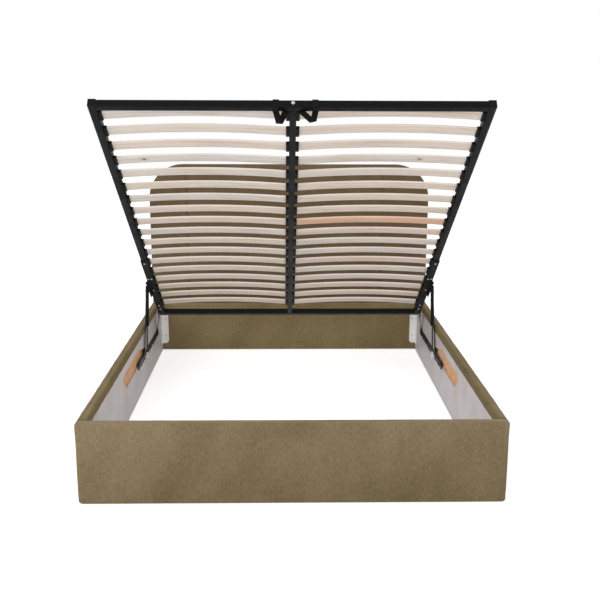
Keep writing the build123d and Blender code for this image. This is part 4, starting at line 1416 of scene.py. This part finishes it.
    def build(self) -> bpy.types.Object:
        """Make the cover and leave out its underside and what the lining board covers.

        Its points are the plan drawn in by each row's inset, at that row's height, moved
        outwards by a little soft unevenness.

        Returns:
            The cover.
        """
        rows = self.profile()
        plan = self.outline(rows[:, 0])
        points = np.zeros((*plan.shape[:2], 3))
        points[..., :2] = plan + (self.high + self.low)[:2] / 2
        points[..., 2] = rows[:, 1][:, None]
        widest = int(np.argmin(rows[:, 0]))
        flat = sheet_map(distance_round(plan[widest])[None, :], distance_round(rows)[:, None])
        points[..., :2] += self.uneven(points, plan)
        middle = (points[:-1, :-1] + points[1:, :-1] + points[:-1, 1:] + points[1:, 1:]) / 4
        piece = grid_piece(self.node + "_sewn", points, flat, "cloth",
                           ~self.behind_lining(middle))
        thickened(piece, self.wall)
        return self.show(piece, "cover_fabric", "base", self.node, painted_light_copy=self.painted_light_copy)


@dataclass
class Rails(SubAssembly):
    """The four rails: covers, boards and linings."""

    foot_corners: Tuple[float, float, float, float] = (0.022, 0.0015, 0.0015, 0.022)

    def build(self) -> None:
        """Make each cover, and finish the boards and linings."""
        # The side rails take the cloth with painted shade, and the head rail the cloth with
        # painted light
        RailCover(self.finishes, "foot_rail_cover", LinedFace.TOWARDS_HEAD, self.foot_corners,
                  seed=3).build()
        RailCover(self.finishes, "side_rail_cover_right", LinedFace.TOWARDS_LEFT, seed=5,
                  painted_light_copy=PaintedLightCopy.SIDE).build()
        RailCover(self.finishes, "side_rail_cover_left", LinedFace.TOWARDS_RIGHT, seed=6,
                  painted_light_copy=PaintedLightCopy.SIDE).build()
        RailCover(self.finishes, "head_rail_cover", seed=9, painted_light_copy=PaintedLightCopy.HEAD).build()
        self.finish_node("foot_rail_core", "side_rail_core_right", "side_rail_core_left",
                         "head_rail_core", "foot_rail_lining", "side_rail_lining_right",
                         "side_rail_lining_left")


# Headboard


@dataclass
class Headboard(Cover):
    """The arched, padded headboard and what closes its back.

    Edge rows are distances in from the outline, seam columns distances from a seam, and
    swells are ripples by pitch, seed and height.
    """

    node: str = "headboard_cover"
    corner_radius: float = 0.200
    corner_steps: int = 24
    mesh_step: float = 0.028
    edge_radius: float = 0.024
    edge_rows: Tuple[float, ...] = (0, 0.0004, 0.0017, 0.0038, 0.0068, 0.0106, 0.0152, 0.0206,
                                    0.0268, 0.036)
    front_rows: int = 110
    back_radius: float = 0.006
    back_steps: int = 4
    back_border: float = 0.034
    hem_start_share: float = 0.6
    hem_turn: float = 0.012
    hem_depth: float = 0.0035
    tuck: float = 0.030
    side_map_start: float = 1.2
    seams: Pair = (-0.610, 0.556)
    seam_depth: float = 0.0045
    seam_reach: float = 0.019
    seam_columns: Tuple[float, ...] = (0.0016, 0.0034, 0.006, 0.011, 0.017, 0.024)
    seam_clear: float = 0.03
    stitch_depth: float = 0.0042
    stitch_reach: float = 0.0032
    gather_share: float = 0.28
    gather_shift: float = 9.0
    pucker: float = 0.0011
    pucker_pitch: float = 0.046
    pucker_slant: float = 60.0
    pucker_reach: float = 0.035
    swells: Tuple[Tuple[float, int, float], ...] = ((0.24, 21, 0.0012), (0.08, 22, 0.0004))
    calm_edge: float = 0.05
    wall: float = 0.003
    bolt_x: float = 0.800
    bolt_heights: Pair = (0.08125, 0.2275)
    bolt_edge: float = 0.0008
    pocket_radius: float = 0.0134
    pocket_steps: int = 12
    pocket_clear: float = 0.002

    def columns(self) -> np.ndarray:
        """X of the columns: equal angles through the round corners, close by the seams.

        Returns:
            The places in order.
        """
        level = self.half[0] - self.corner_radius
        edge = level + self.corner_radius * np.sin(quarter(self.corner_steps))
        middle = spread(-level, level, self.mesh_step)
        beside = np.array(self.seam_columns)
        by_seam = np.concatenate([-beside[::-1], [0.0], beside])
        seams = np.concatenate([x + by_seam for x in self.seams])
        far = np.abs(middle[:, None] - np.array(self.seams)[None, :]).min(1) > self.seam_clear
        return in_order(np.concatenate([-edge, middle[far], seams, edge]))

    def top(self, x: np.ndarray) -> np.ndarray:
        """Height of the outline above each X: level, with a quarter circle at each end.

        Args:
            x: The places.

        Returns:
            One height for each place.
        """
        radius = self.corner_radius
        over = np.clip(np.abs(x) - (self.half[0] - radius), 0, radius)
        return self.high[2] - radius + np.sqrt(radius ** 2 - over ** 2)

    def inside(self, x: np.ndarray, z: np.ndarray) -> np.ndarray:
        """Distance from a place on the front to the nearest side or top edge.

        Args:
            x: X of the places.
            z: Their heights.

        Returns:
            One distance for each place, never below nothing.
        """
        past_x = np.abs(x) - (self.half[0] - self.corner_radius)
        past_z = z - (self.high[2] - self.corner_radius)
        corner = self.corner_radius - np.hypot(past_x, past_z)
        straight = np.minimum(self.half[0] - np.abs(x), self.high[2] - z)
        return np.maximum(np.where((past_x > 0) & (past_z > 0), corner, straight), 0.0)

    def front_heights(self, x: np.ndarray) -> np.ndarray:
        """Height of each row at each column, closer to each other by the bolts and the top.

        The lower rows are shares of the way up to the outline, even but for rows that
        follow the bolts' pockets; the last rows keep their distance from the outline.

        Args:
            x: X of the columns.

        Returns:
            Rows x columns, from the floor up.
        """
        low, ceiling = self.low[2], self.top(x)
        rows = np.array(self.edge_rows)
        straight = self.high[2] - self.corner_radius - rows[-1] - low
        turn = np.linspace(-RIGHT_ANGLE, RIGHT_ANGLE, self.pocket_steps + 1)
        pocket = np.sin(turn) * self.pocket_radius
        by_bolts = [(z + pocket - low) / straight for z in self.bolt_heights]
        even = np.linspace(0, 1, self.front_rows)
        clear = np.abs(even[:, None] - [part.mean() for part in by_bolts]).min(1)
        even = even[clear * straight > self.pocket_radius + self.pocket_clear]
        share = np.unique(np.concatenate([even, *by_bolts]))[:, None]
        return np.concatenate([low + share * (ceiling - rows[-1] - low)[None, :],
                               ceiling[None, :] - rows[::-1][1:, None]])

    def front(self) -> np.ndarray:
        """The padded front: a quarter-circle roll at its edge and two sewn seams.

        Depth = edge roll of the distance to the outline, plus a wide valley and a narrow
        stitched groove at each seam, whose sides pucker along their height, plus a slight
        swell that fades out at the edge.

        Returns:
            Rows x columns x 3, from the floor up.
        """
        x = self.columns()
        z = self.front_heights(x)
        x = np.tile(x, (len(z), 1))
        edge = self.inside(x, z)
        short_of_flat = np.maximum(self.edge_radius - edge, 0)
        depth = self.edge_radius - np.sqrt(self.edge_radius ** 2 - short_of_flat ** 2)
        calm = np.clip(edge / self.calm_edge, 0, 1)
        turn = z * FULL_TURN / self.pucker_pitch
        for seam in self.seams:
            away = np.abs(x - seam)
            gather = 1 + self.gather_share * np.sin(turn + seam * self.gather_shift)
            valley = np.exp(-(away / self.seam_reach * 2) ** 2)
            groove = np.exp(-(away / self.stitch_reach) ** 2)
            pulls = np.sin(turn + away * self.pucker_slant) * np.exp(-away / self.pucker_reach)
            depth += (self.seam_depth * gather * valley
                      + (self.stitch_depth * groove + self.pucker * pulls) * calm)
        for pitch, seed, height in self.swells:
            depth += ripple(x, z, pitch, seed) * height * calm
        return np.stack([x, self.low[1] + depth, z], -1)

    def rim(self, edge: np.ndarray) -> np.ndarray:
        """From the front's edge back round the side to the turned-in hem, row by row.

        Each edge point moves back along Y and, past the back's small radius, inwards along
        the outline's normal, then forwards behind the backing cloth. Beside a bolt's pocket
        the hem follows the pocket's circle.

        Args:
            edge: Points of the front's edge, from the floor over the top to the floor.

        Returns:
            Rows x points x 3.
        """
        x, z = edge[:, 0], edge[:, 2]
        past_x = np.maximum(np.abs(x) - (self.half[0] - self.corner_radius), 0)
        past_z = np.maximum(z - (self.high[2] - self.corner_radius), 0)
        past_x = np.where(past_z <= TOUCHING, 1.0, past_x)
        out = np.stack([np.sign(x) * past_x, np.where(past_z <= TOUCHING, 0.0, past_z)], -1)
        out /= np.maximum(np.linalg.norm(out, axis=1, keepdims=True), TOUCHING)
        turn = quarter(self.back_steps)[1:]
        back = self.high[1]
        straight = np.linspace(edge[:, 1].max(), back - self.back_radius,
                               self.back_steps + 1)[1:]
        from_bolt = np.abs(z[:, None] - np.array(self.bolt_heights)).min(1)
        chord = np.sqrt(np.maximum(self.pocket_radius ** 2 - from_bolt ** 2, 0))
        hem = np.minimum(self.back_border, self.half[0] - self.bolt_x - chord)
        hem = np.where(from_bolt < self.pocket_radius, hem, self.back_border)
        turned_in = np.where(hem < self.back_border, 0.0, self.hem_turn)
        fixed = np.concatenate([np.zeros(len(straight)), self.back_radius * (1 - np.cos(turn))])
        insets = np.concatenate([np.tile(fixed[:, None], (1, len(edge))),
                                 [hem * self.hem_start_share, hem, hem, hem + turned_in]])
        behind = back - self.hem_depth
        depths = np.concatenate([straight, back - self.back_radius * (1 - np.sin(turn)),
                                 [back, back, behind, behind]])
        rows = np.zeros((len(insets) + 1, len(edge), 3))
        rows[0] = edge
        rows[1:, :, 0] = x - out[:, 0] * insets
        rows[1:, :, 1] = depths[:, None]
        rows[1:, :, 2] = z - out[:, 1] * insets
        return rows

    def build(self) -> None:
        """Make the cover in two grids that share their edge, and finish the back."""
        front = self.front()
        under = front[:1] + [0.0, self.tuck, 0.0]
        front = np.concatenate([under, front])
        flat = front[..., [0, 2]]
        flat[0, :, 1] -= self.tuck
        face = grid_piece("headboard_face", front, flat, "cloth", outwards=False)
        edge = np.concatenate([front[1:, 0], front[-1, 1:-1], front[1:, -1][::-1]])
        rows = self.rim(edge)
        around = sheet_map(distance_round(edge)[None, :],
                           distance_round(rows[:, 0])[:, None] + self.side_map_start)
        side = grid_piece("headboard_side", rows, around, "cloth", outwards=False)
        piece = thickened(joined("headboard_cover_sewn", face, side), self.wall)
        # The headboard takes the cloth with painted shade
        self.show(piece, "cover_fabric", "base", self.node, painted_light_copy=PaintedLightCopy.HEADBOARD)
        self.finish_node("headboard_core", "headboard_back_panel")
        self.ease(self.bolt_edge, "headboard_bolts")


# Slat frame


@dataclass
class LiftedFrame:
    """Where the open slat frame stands: U runs from its head end, V above its underside."""

    head_y: float = 0.7045
    head_z: float = 0.2914
    angle: float = math.radians(36.5)

    def place(self, x: np.ndarray, u: np.ndarray, v: np.ndarray) -> np.ndarray:
        """Turn frame coordinates by the lift angle about the head end.

        Args:
            x: Across the bed.
            u: Along the frame, from its head end.
            v: Above its underside.

        Returns:
            The places in the bed's own frame.
        """
        x, u, v = np.broadcast_arrays(x, u, v)
        y = self.head_y - u * math.cos(self.angle) + v * math.sin(self.angle)
        z = self.head_z + u * math.sin(self.angle) + v * math.cos(self.angle)
        return np.stack([x, y, z], -1)


@dataclass(frozen=True)
class Bank:
    """One bank of slats: its side, how warm they are, a knot's place and an orange slat."""

    side: str
    sign: int
    tones: Pair
    knot_along: float
    orange_slat: Optional[int] = None


@dataclass
class SlatFrame(SubAssembly):
    """The welded tube frame, its slats and their holders."""

    lifted: LiftedFrame = field(default_factory=LiftedFrame)
    half: float = 0.750
    length: float = 2.000
    tube: float = 0.030
    side_height: float = 0.032
    cross_height: float = 0.029
    centre_width: float = 0.026
    end_cap: float = 0.002
    tube_radius: float = 0.0032
    tube_step: float = 0.05
    slat_count: int = 18
    slat_width: float = 0.050
    slat_thickness: float = 0.008
    slat_radius: float = 0.0022
    slat_corner_steps: int = 4
    slat_low: float = 0.011
    slat_bow: float = 0.015
    slat_first: float = 0.162
    slat_pitch: float = 0.1038
    slat_inner: float = 0.0165
    slat_outer: float = 0.7165
    slat_step: float = 0.028
    slat_rim: float = 0.0012
    slat_map_pitch: float = 3.0
    banks: Tuple[Bank, Bank] = (Bank("right", 1, (0.05, 0.72), 0.52, 9),
                                Bank("left", -1, (0.02, 0.62), 0.60))
    seed: int = 11
    orange_tone: float = 0.98
    knot_slat: int = 14
    knot_around: float = 0.083
    weld_radius: float = 0.0021
    weld_columns: int = 11
    weld_rows: int = 41
    weld_clear: float = 0.002
    weld_ripple: float = 0.16
    weld_turn: float = 26.0
    weld_taper: float = 40.0
    plastic_edge: float = 0.0007
    bracket_edge: float = 0.0007
    cap_edge: float = 0.0012
    bolt_edge: float = 0.0010

    def drawn_tube(self, node: str, x: Pair, u: Pair, high: float, across: bool) -> None:
        """A round-cornered tube: its section carried along X or U, closed at both ends.

        Args:
            node: The tube's solid.
            x: Its lowest and highest X.
            u: Its nearest and furthest place from the head end.
            high: Height of its section.
            across: Whether it runs along X.
        """
        ends, sides = (x, u) if across else (u, x)
        ring = box_section(sides[1] - sides[0], high, self.tube_radius)
        run, size = capped(*ends, self.tube_step)
        section = ring[None] * size[:, None, None]
        beside = section[..., 0] + sum(sides) / 2
        along = run[:, None]
        points = self.lifted.place(along if across else beside, beside if across else along,
                                   section[..., 1] + high / 2)
        flat = sheet_map(along, distance_round(ring)[None])
        piece = grid_piece(f"{node}_drawn", points, flat, "length")
        self.show(piece, "black_steel", "slat_frame", node)

    def tubes(self) -> None:
        """The five tubes of the welded frame."""
        wide, cap = self.tube, self.end_cap
        inner, middle = self.half - wide, self.centre_width / 2
        beside = (cap, self.length - cap)
        self.drawn_tube("side_tube_right", (inner, self.half), beside, self.side_height, False)
        self.drawn_tube("side_tube_left", (-self.half, -inner), beside, self.side_height, False)
        for end, u in (("foot", self.length - wide), ("head", 0.0)):
            self.drawn_tube(f"{end}_tube", (-inner, inner), (u, u + wide), self.cross_height,
                            True)
        self.drawn_tube("centre_tube", (-middle, middle), (wide, self.length - wide),
                        self.cross_height, False)

    def slats(self, bank: Bank, tones: np.ndarray) -> None:
        """One bank of bowed slats with eased edges.

        A round-cornered section is carried across the bank and raised by
        bow x (1 - (distance from the middle / half span) squared).

        Args:
            bank: The bank.
            tones: How warm each slat is, from grey at 0 to orange at 1.
        """
        ring = box_section(self.slat_width, self.slat_thickness, self.slat_radius,
                           self.slat_corner_steps)
        run, size = capped(self.slat_inner, self.slat_outer, self.slat_step)
        middle = (self.slat_inner + self.slat_outer) / 2
        rise = self.slat_bow * (1 - ((run - middle) / (self.slat_outer - middle)) ** 2)
        number = np.arange(self.slat_count)[:, None, None]
        section = ring[None] * size[:, None, None]
        u = self.slat_first + number * self.slat_pitch + section[None, ..., 0]
        v = self.slat_low + self.slat_thickness / 2 + rise[:, None] + section[..., 1]
        points = self.lifted.place(bank.sign * run[None, :, None], u, v[None])
        shape = points.shape[:3]
        flat = sheet_map(run[None, :, None] + number * self.slat_map_pitch,
                         np.broadcast_to(distance_round(ring), shape))
        knot = np.zeros((*shape, 3))
        knot[self.knot_slat] = (bank.knot_along + self.knot_slat * self.slat_map_pitch,
                                self.knot_around, 1.0)
        rim = np.abs(ring[:, 0]) > self.slat_width / 2 - self.slat_rim
        carried = {"tone": np.broadcast_to(tones[:, None, None], shape),
                   "edge": np.broadcast_to(ring[:, 1] / self.slat_thickness, shape),
                   "rim": np.broadcast_to(rim.astype(float), shape), "knot": knot}
        piece = grid_piece(f"slats_{bank.side}_bent", points, flat, "grain", carried=carried)
        self.show(piece, "slat_wood", "slat_frame", f"slats_{bank.side}")

    def welds(self) -> None:
        """Short weld beads where the cross tubes meet the side tubes.

        A half-round bead runs up each inner corner, its radius rippled along its length.
        """
        turn = np.linspace(0, FULL_TURN, self.weld_columns)
        run = np.linspace(0, 1, self.weld_rows)
        spot = np.array([(sign * x, u) for x in (self.half - self.tube, self.centre_width / 2)
                         for sign in (1, -1) for u in (self.tube, self.length - self.tube)])
        swell = 1 + self.weld_ripple * np.sin(run * self.weld_turn)
        taper = np.sin(np.clip(run * (1 - run) * self.weld_taper, 0, RIGHT_ANGLE))
        bead = (self.weld_radius * swell * taper)[:, None]
        x = spot[:, 0, None, None] + bead * np.cos(turn)
        u = spot[:, 1, None, None] + bead * np.sin(turn)
        v = self.weld_clear + run * (self.cross_height - 2 * self.weld_clear)
        points = self.lifted.place(x, u, v[None, :, None])
        piece = grid_piece("corner_welds", points, np.zeros((*points.shape[:3], 2)), "length")
        self.show(piece, "black_steel", "slat_frame")

    def build(self) -> None:
        """Tubes, slats, holders, caps, brackets and bolts of the lifted frame."""
        self.tubes()
        dice = np.random.default_rng(self.seed)
        for bank in self.banks:
            tones = dice.uniform(*bank.tones, self.slat_count)
            if bank.orange_slat is not None:
                tones[bank.orange_slat] = self.orange_tone
            self.slats(bank, tones)
        self.welds()
        self.ease(self.plastic_edge, "side_slat_holders_right", "side_slat_holders_left",
                  "centre_slat_holders")
        self.ease(self.cap_edge, "tube_end_caps")
        self.ease(self.bracket_edge, "top_bracket_right", "top_bracket_left")
        self.ease(self.bolt_edge, "top_bracket_bolts", "frame_bolts", "front_top_pins")


@dataclass
class PullStrap(SubAssembly):
    """Webbing tied round the foot tube, hanging in a loop on each side of the centre tube.

    Pairs of rings, tilts, lows and drops are the left one and the right one. The band's
    tails are distances out from the tube's side and heights.
    """

    lifted: LiftedFrame = field(default_factory=LiftedFrame)
    width: float = 0.023
    thickness: float = 0.0016
    columns: int = 7
    soft_edge: float = 0.0004
    foot: float = 2.000
    tube: float = 0.030
    high: float = 0.029
    clear: float = 0.0016
    centre_half: float = 0.013
    rings: Pair = (-0.064, 0.083)
    ring_tilts: Pair = (0.0012, -0.0010)
    ring_radius: float = 0.005
    ring_steps: int = 6
    lows: Pair = (-0.051, 0.074)
    drops: Pair = (0.050, 0.042)
    loop_start: float = 0.004
    loop_end: Pair = (0.012, 0.012)
    loop_steps: int = 14
    loop_back: float = 0.004
    strand_gap: float = 0.0028
    strand_turn: float = 6.0
    sway: float = 0.002
    band_radius: float = 0.003
    band_steps: int = 4
    band_tails: Tuple[Pair, Pair] = ((0.004, 0.006), (0.001, 0.016))
    band_back: float = 0.0072
    band_half: float = 0.0052

    @property
    def across(self) -> np.ndarray:
        """Places across a band, from -1 to 1."""
        return np.linspace(-1, 1, self.columns)

    def webbing(self, name: str, spots: np.ndarray, run: np.ndarray) -> bpy.types.Object:
        """A band of webbing through rows of points across it.

        Args:
            name: Name of the band.
            spots: X, U and V, as stations along x columns across x 3.
            run: How far along the band each station is.

        Returns:
            The band, open at its two cut edges.
        """
        points = self.lifted.place(spots[..., 0], spots[..., 1], spots[..., 2])
        flat = sheet_map(run[:, None], self.across[None] * self.width / 2)
        piece = grid_piece(name, points, flat, "weave")
        return thickened(piece, self.thickness, inwards=False)

    def ribbon(self, name: str, middle: np.ndarray, half: Point) -> bpy.types.Object:
        """A flat band: its middle line plus a share of its half width each way.

        Args:
            name: Name of the band.
            middle: X, U and V along the band, for each station.
            half: X, U and V of half its width.

        Returns:
            The band, with soft edges.
        """
        spots = middle[:, None, :] + np.array(half) * self.across[None, :, None]
        piece = self.webbing(name, spots, distance_round(middle))
        edge = piece.modifiers.new("soft edges", "BEVEL")
        edge.width = self.soft_edge
        edge.segments = EDGE_STEPS
        edge.limit_method = "ANGLE"
        return piece

    def ring(self, name: str, x: float, tilt: float) -> bpy.types.Object:
        """Once round the foot tube, a little askew: a round-cornered section as the path.

        Args:
            name: Name of the band.
            x: Middle of the band.
            tilt: How far it wanders along X on its way round.

        Returns:
            The band.
        """
        gap = self.clear + self.thickness / 2
        section = box_section(self.tube + 2 * gap, self.high + 2 * gap, self.ring_radius,
                              self.ring_steps)
        turn = np.linspace(0, FULL_TURN, len(section))
        middle = np.stack([x + tilt * np.cos(turn), section[:, 0] + self.foot - self.tube / 2,
                           section[:, 1] + self.high / 2], -1)
        return self.ribbon(name, middle, (self.width / 2, 0.0, 0.0))

    def loop(self, name: str, ring_x: float, low_x: float, drop: float,
             way: int) -> bpy.types.Object:
        """Down from the ring to a fold and up to the centre tube.

        The band is folded along the bisector of its two directions, so that both strands
        keep their width; they pass each other by a little along U near the fold.

        Args:
            name: Name of the band.
            ring_x: Where the ring sits.
            low_x: Where the fold hangs.
            drop: How far it hangs below the frame's underside.
            way: 1 to the right of the centre tube, -1 to its left.

        Returns:
            The band.
        """
        start = np.array([ring_x, self.loop_start])
        low = np.array([low_x, -drop])
        end = np.array([way * (self.centre_half + self.loop_end[0]), self.loop_end[1]])
        down = (low - start) / np.linalg.norm(low - start)
        rise = (end - low) / np.linalg.norm(end - low)
        fold = (down + rise) / np.linalg.norm(down + rise)
        sides = np.array([[-down[1], down[0]], [-rise[1], rise[0]]])
        sides *= np.sign(sides @ fold)[:, None]
        reach = self.across * self.width / 2
        begin = start + np.outer(reach, sides[0])
        turned = low + np.outer(reach / (sides[0] @ fold), fold)
        finish = end + np.outer(reach, sides[1])
        t = np.linspace(0, 1, self.loop_steps + 1)[:, None, None]
        first = begin[None] * (1 - t) + turned[None] * t
        second = turned[None] * (1 - t) + finish[None] * t
        hung = np.concatenate([first, second[1:]])
        s = np.linspace(-1, 1, len(hung))
        apart = self.strand_gap * np.minimum(np.abs(s) * self.strand_turn, 1)
        u = (self.foot - self.tube - self.clear - self.loop_back
             + np.where(s < 0, 1, -1) * apart + self.sway * np.sin(s * math.pi) * way)
        spots = np.stack(np.broadcast_arrays(hung[..., 0], u[:, None], hung[..., 1]), -1)
        return self.webbing(name, spots, distance_round(hung[:, self.columns // 2]))

    def band(self) -> bpy.types.Object:
        """Over the centre tube: up one side, across and down the other.

        Returns:
            The band.
        """
        half = self.centre_half + self.clear
        top = self.high + self.clear
        turn = quarter(self.band_steps)
        corner = np.stack([-half + self.band_radius * (1 - np.cos(turn)),
                           top - self.band_radius * (1 - np.sin(turn))], -1)
        tails = [(-half - out, height) for out, height in self.band_tails]
        path = np.concatenate([tails, corner])
        path = np.concatenate([path, path[::-1] * [-1, 1]])
        u = self.foot - self.tube - self.band_back
        middle = np.stack([path[:, 0], np.full(len(path), u), path[:, 1]], -1)
        return self.ribbon("strap_band", middle, (0.0, self.band_half, 0.0))

    def build(self) -> None:
        """Two rings, two loops and the band, which together stand for the strap."""
        sides = (("left", -1), ("right", 1))
        pieces = [self.ring(f"strap_ring_{side}", self.rings[at], self.ring_tilts[at])
                  for at, (side, _) in enumerate(sides)]
        pieces += [self.loop(f"strap_loop_{side}", self.rings[at], self.lows[at],
                             self.drops[at], way) for at, (side, way) in enumerate(sides)]
        for piece in (*pieces, self.band()):
            self.show(piece, "webbing", "slat_frame", "pull_strap")


# Lift mechanism and the fittings inside the rails


@dataclass
class LiftMechanism(SubAssembly):
    """Base brackets, links, gas struts and their pins."""

    sheet_edge: float = 0.0006
    pin_edge: float = 0.0008
    rod_edge: float = 0.0004
    strut_past: float = 36.0

    def build(self) -> None:
        """Break the edges of every plate, bar and pin."""
        for side in ("right", "left"):
            self.ease(self.sheet_edge, f"base_bracket_{side}", f"front_link_{side}",
                      f"rear_link_{side}")
            self.ease(self.pin_edge, f"strut_cylinder_{side}", past=self.strut_past)
            self.ease(self.rod_edge, f"strut_rod_{side}", past=self.strut_past)
        self.ease(self.pin_edge, "rear_base_pins", "rear_top_pins", "front_base_pins",
                  "strut_studs", "strut_top_pins", "base_bracket_screws")


@dataclass
class BayFittings(SubAssembly):
    """Corner plates, battens, pads, screws and glides."""

    plate_edge: float = 0.0008
    batten_edge: float = 0.0020
    screw_edge: float = 0.0008
    pad_edge: float = 0.0012
    glide_edge: float = 0.0010

    def build(self) -> None:
        """Break their edges and finish them."""
        for side in ("right", "left"):
            self.ease(self.plate_edge, f"head_corner_plate_{side}", f"foot_corner_plate_{side}")
            self.ease(self.batten_edge, f"foot_ledge_{side}")
        self.ease(self.screw_edge, "corner_screws", "ledge_screws")
        self.ease(self.pad_edge, "rest_pads")
        self.ease(self.glide_edge, "glides")


# Studio


@dataclass
class Studio:
    """Camera, soft light and the white floor."""

    lens: float = 51.293
    sensor: float = 36.0
    eye: Point = (-0.0358, -4.1018, 1.5028)
    pitch: float = 0.2293
    yaw: float = -0.0198
    roll: float = 0.0034
    sky: float = 0.66
    aim: Point = (0.0, -0.2, 0.5)
    key_power: float = 121.0
    key_place: Point = (-3.2, -4.8, 3.0)
    key_size: float = 3.2
    fill_power: float = 28.0
    fill_place: Point = (3.4, -4.6, 1.7)
    fill_size: float = 2.4
    floor_glow: float = 0.62
    floor_shade: Colour = (0.86, 0.86, 0.86, 1.0)
    floor_reach: float = 14.0

    @staticmethod
    def hang(name: str, data: bpy.types.ID, *columns: Sequence[float]) -> bpy.types.Object:
        """Put a camera or a lamp into the scene.

        Args:
            name: Its name.
            data: The camera or the light.
            columns: Its own X, Y and Z, and its place.

        Returns:
            The object, which looks against its Z.
        """
        item = linked(name, data)
        turn = np.eye(4)
        turn[:3] = np.stack(columns, 1)
        item.matrix_world = Matrix(turn.tolist())
        return item

    def camera(self) -> None:
        """Place the camera from its angles."""
        cy, sy = math.cos(self.yaw), math.sin(self.yaw)
        cp, sp = math.cos(self.pitch), math.sin(self.pitch)
        cr, sr = math.cos(self.roll), math.sin(self.roll)
        ahead, right, rise = np.array([-sy, cy, 0]), np.array([cy, sy, 0]), np.array([0, 0, 1.0])
        forward = cp * ahead - sp * rise
        up = sp * ahead + cp * rise
        lens = bpy.data.cameras.new("studio_camera")
        lens.lens = self.lens
        lens.sensor_width = self.sensor
        lens.dof.use_dof = False
        bpy.context.scene.camera = self.hang("studio_camera", lens, cr * right + sr * up,
                                             cr * up - sr * right, -forward, self.eye)

    def lamp(self, name: str, place: Point, power: float, size: float) -> None:
        """Hang a square soft lamp that looks at the bed's middle.

        Args:
            name: Name of the lamp.
            place: Where it hangs.
            power: Watts.
            size: Length of its side, in metres.
        """
        light = bpy.data.lights.new(name, "AREA")
        light.energy = power
        light.size = size
        back = np.array(place) - self.aim
        back /= np.linalg.norm(back)
        side = np.cross([0, 0, 1.0], back)
        side /= np.linalg.norm(side)
        self.hang(name, light, side, np.cross(back, side), back, place)

    def sky_light(self) -> None:
        """An even sky that cameras and reflections see as white."""
        world = bpy.data.worlds.new("studio_sky")
        bpy.context.scene.world = world
        s = Shader(world)
        strength = self.seen(s) * (1.0 - self.sky) + self.sky
        sky = s.node("ShaderNodeBackground", inputs={"Color": WHITE, "Strength": strength})
        s.node("ShaderNodeOutputWorld", inputs={0: sky})

    @staticmethod
    def seen(s: Shader) -> Wire:
        """1 where a ray comes straight from the camera or off gloss, and 0 elsewhere."""
        path = s.node("ShaderNodeLightPath")
        return path.at_least(Wire(s, path.socket.node.outputs["Is Glossy Ray"]))

    def floor(self) -> None:
        """A pale floor that glows a little for the camera, so that it reads as white."""
        s = Shader.material("studio_floor")
        matt = s.node("ShaderNodeBsdfDiffuse", inputs={"Color": self.floor_shade})
        glow = s.node("ShaderNodeEmission", inputs={"Color": WHITE,
                                                    "Strength": self.seen(s) * self.floor_glow})
        both = s.node("ShaderNodeAddShader", inputs={0: matt, 1: glow})
        s.node("ShaderNodeOutputMaterial", inputs={0: both})
        mesh = bpy.data.meshes.new("studio_floor")
        reach = self.floor_reach
        mesh.from_pydata([(-reach, -reach, 0), (reach, -reach, 0), (reach, reach, 0),
                          (-reach, reach, 0)], [], [(0, 1, 2, 3)])
        mesh.materials.append(s.holder)
        linked("studio_floor", mesh)

    def build(self) -> None:
        """Set up camera, lamps, sky and floor."""
        self.camera()
        self.lamp("key_lamp", self.key_place, self.key_power, self.key_size)
        self.lamp("fill_lamp", self.fill_place, self.fill_power, self.fill_size)
        self.sky_light()
        self.floor()
        bpy.context.scene.view_settings.view_transform = "Standard"


def main() -> None:
    """Build the bed's looks round its solids, sub-assembly by sub-assembly."""
    logging.basicConfig(level=logging.INFO, format="%(name)s %(message)s")
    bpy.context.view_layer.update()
    Studio().build()
    finishes = Finishes()
    for part in (Rails(finishes), Headboard(finishes), SlatFrame(finishes), PullStrap(finishes),
                 LiftMechanism(finishes), BayFittings(finishes)):
        log.info("building %s", type(part).__name__)
        part.build()


if __name__ == "__main__":
    main()
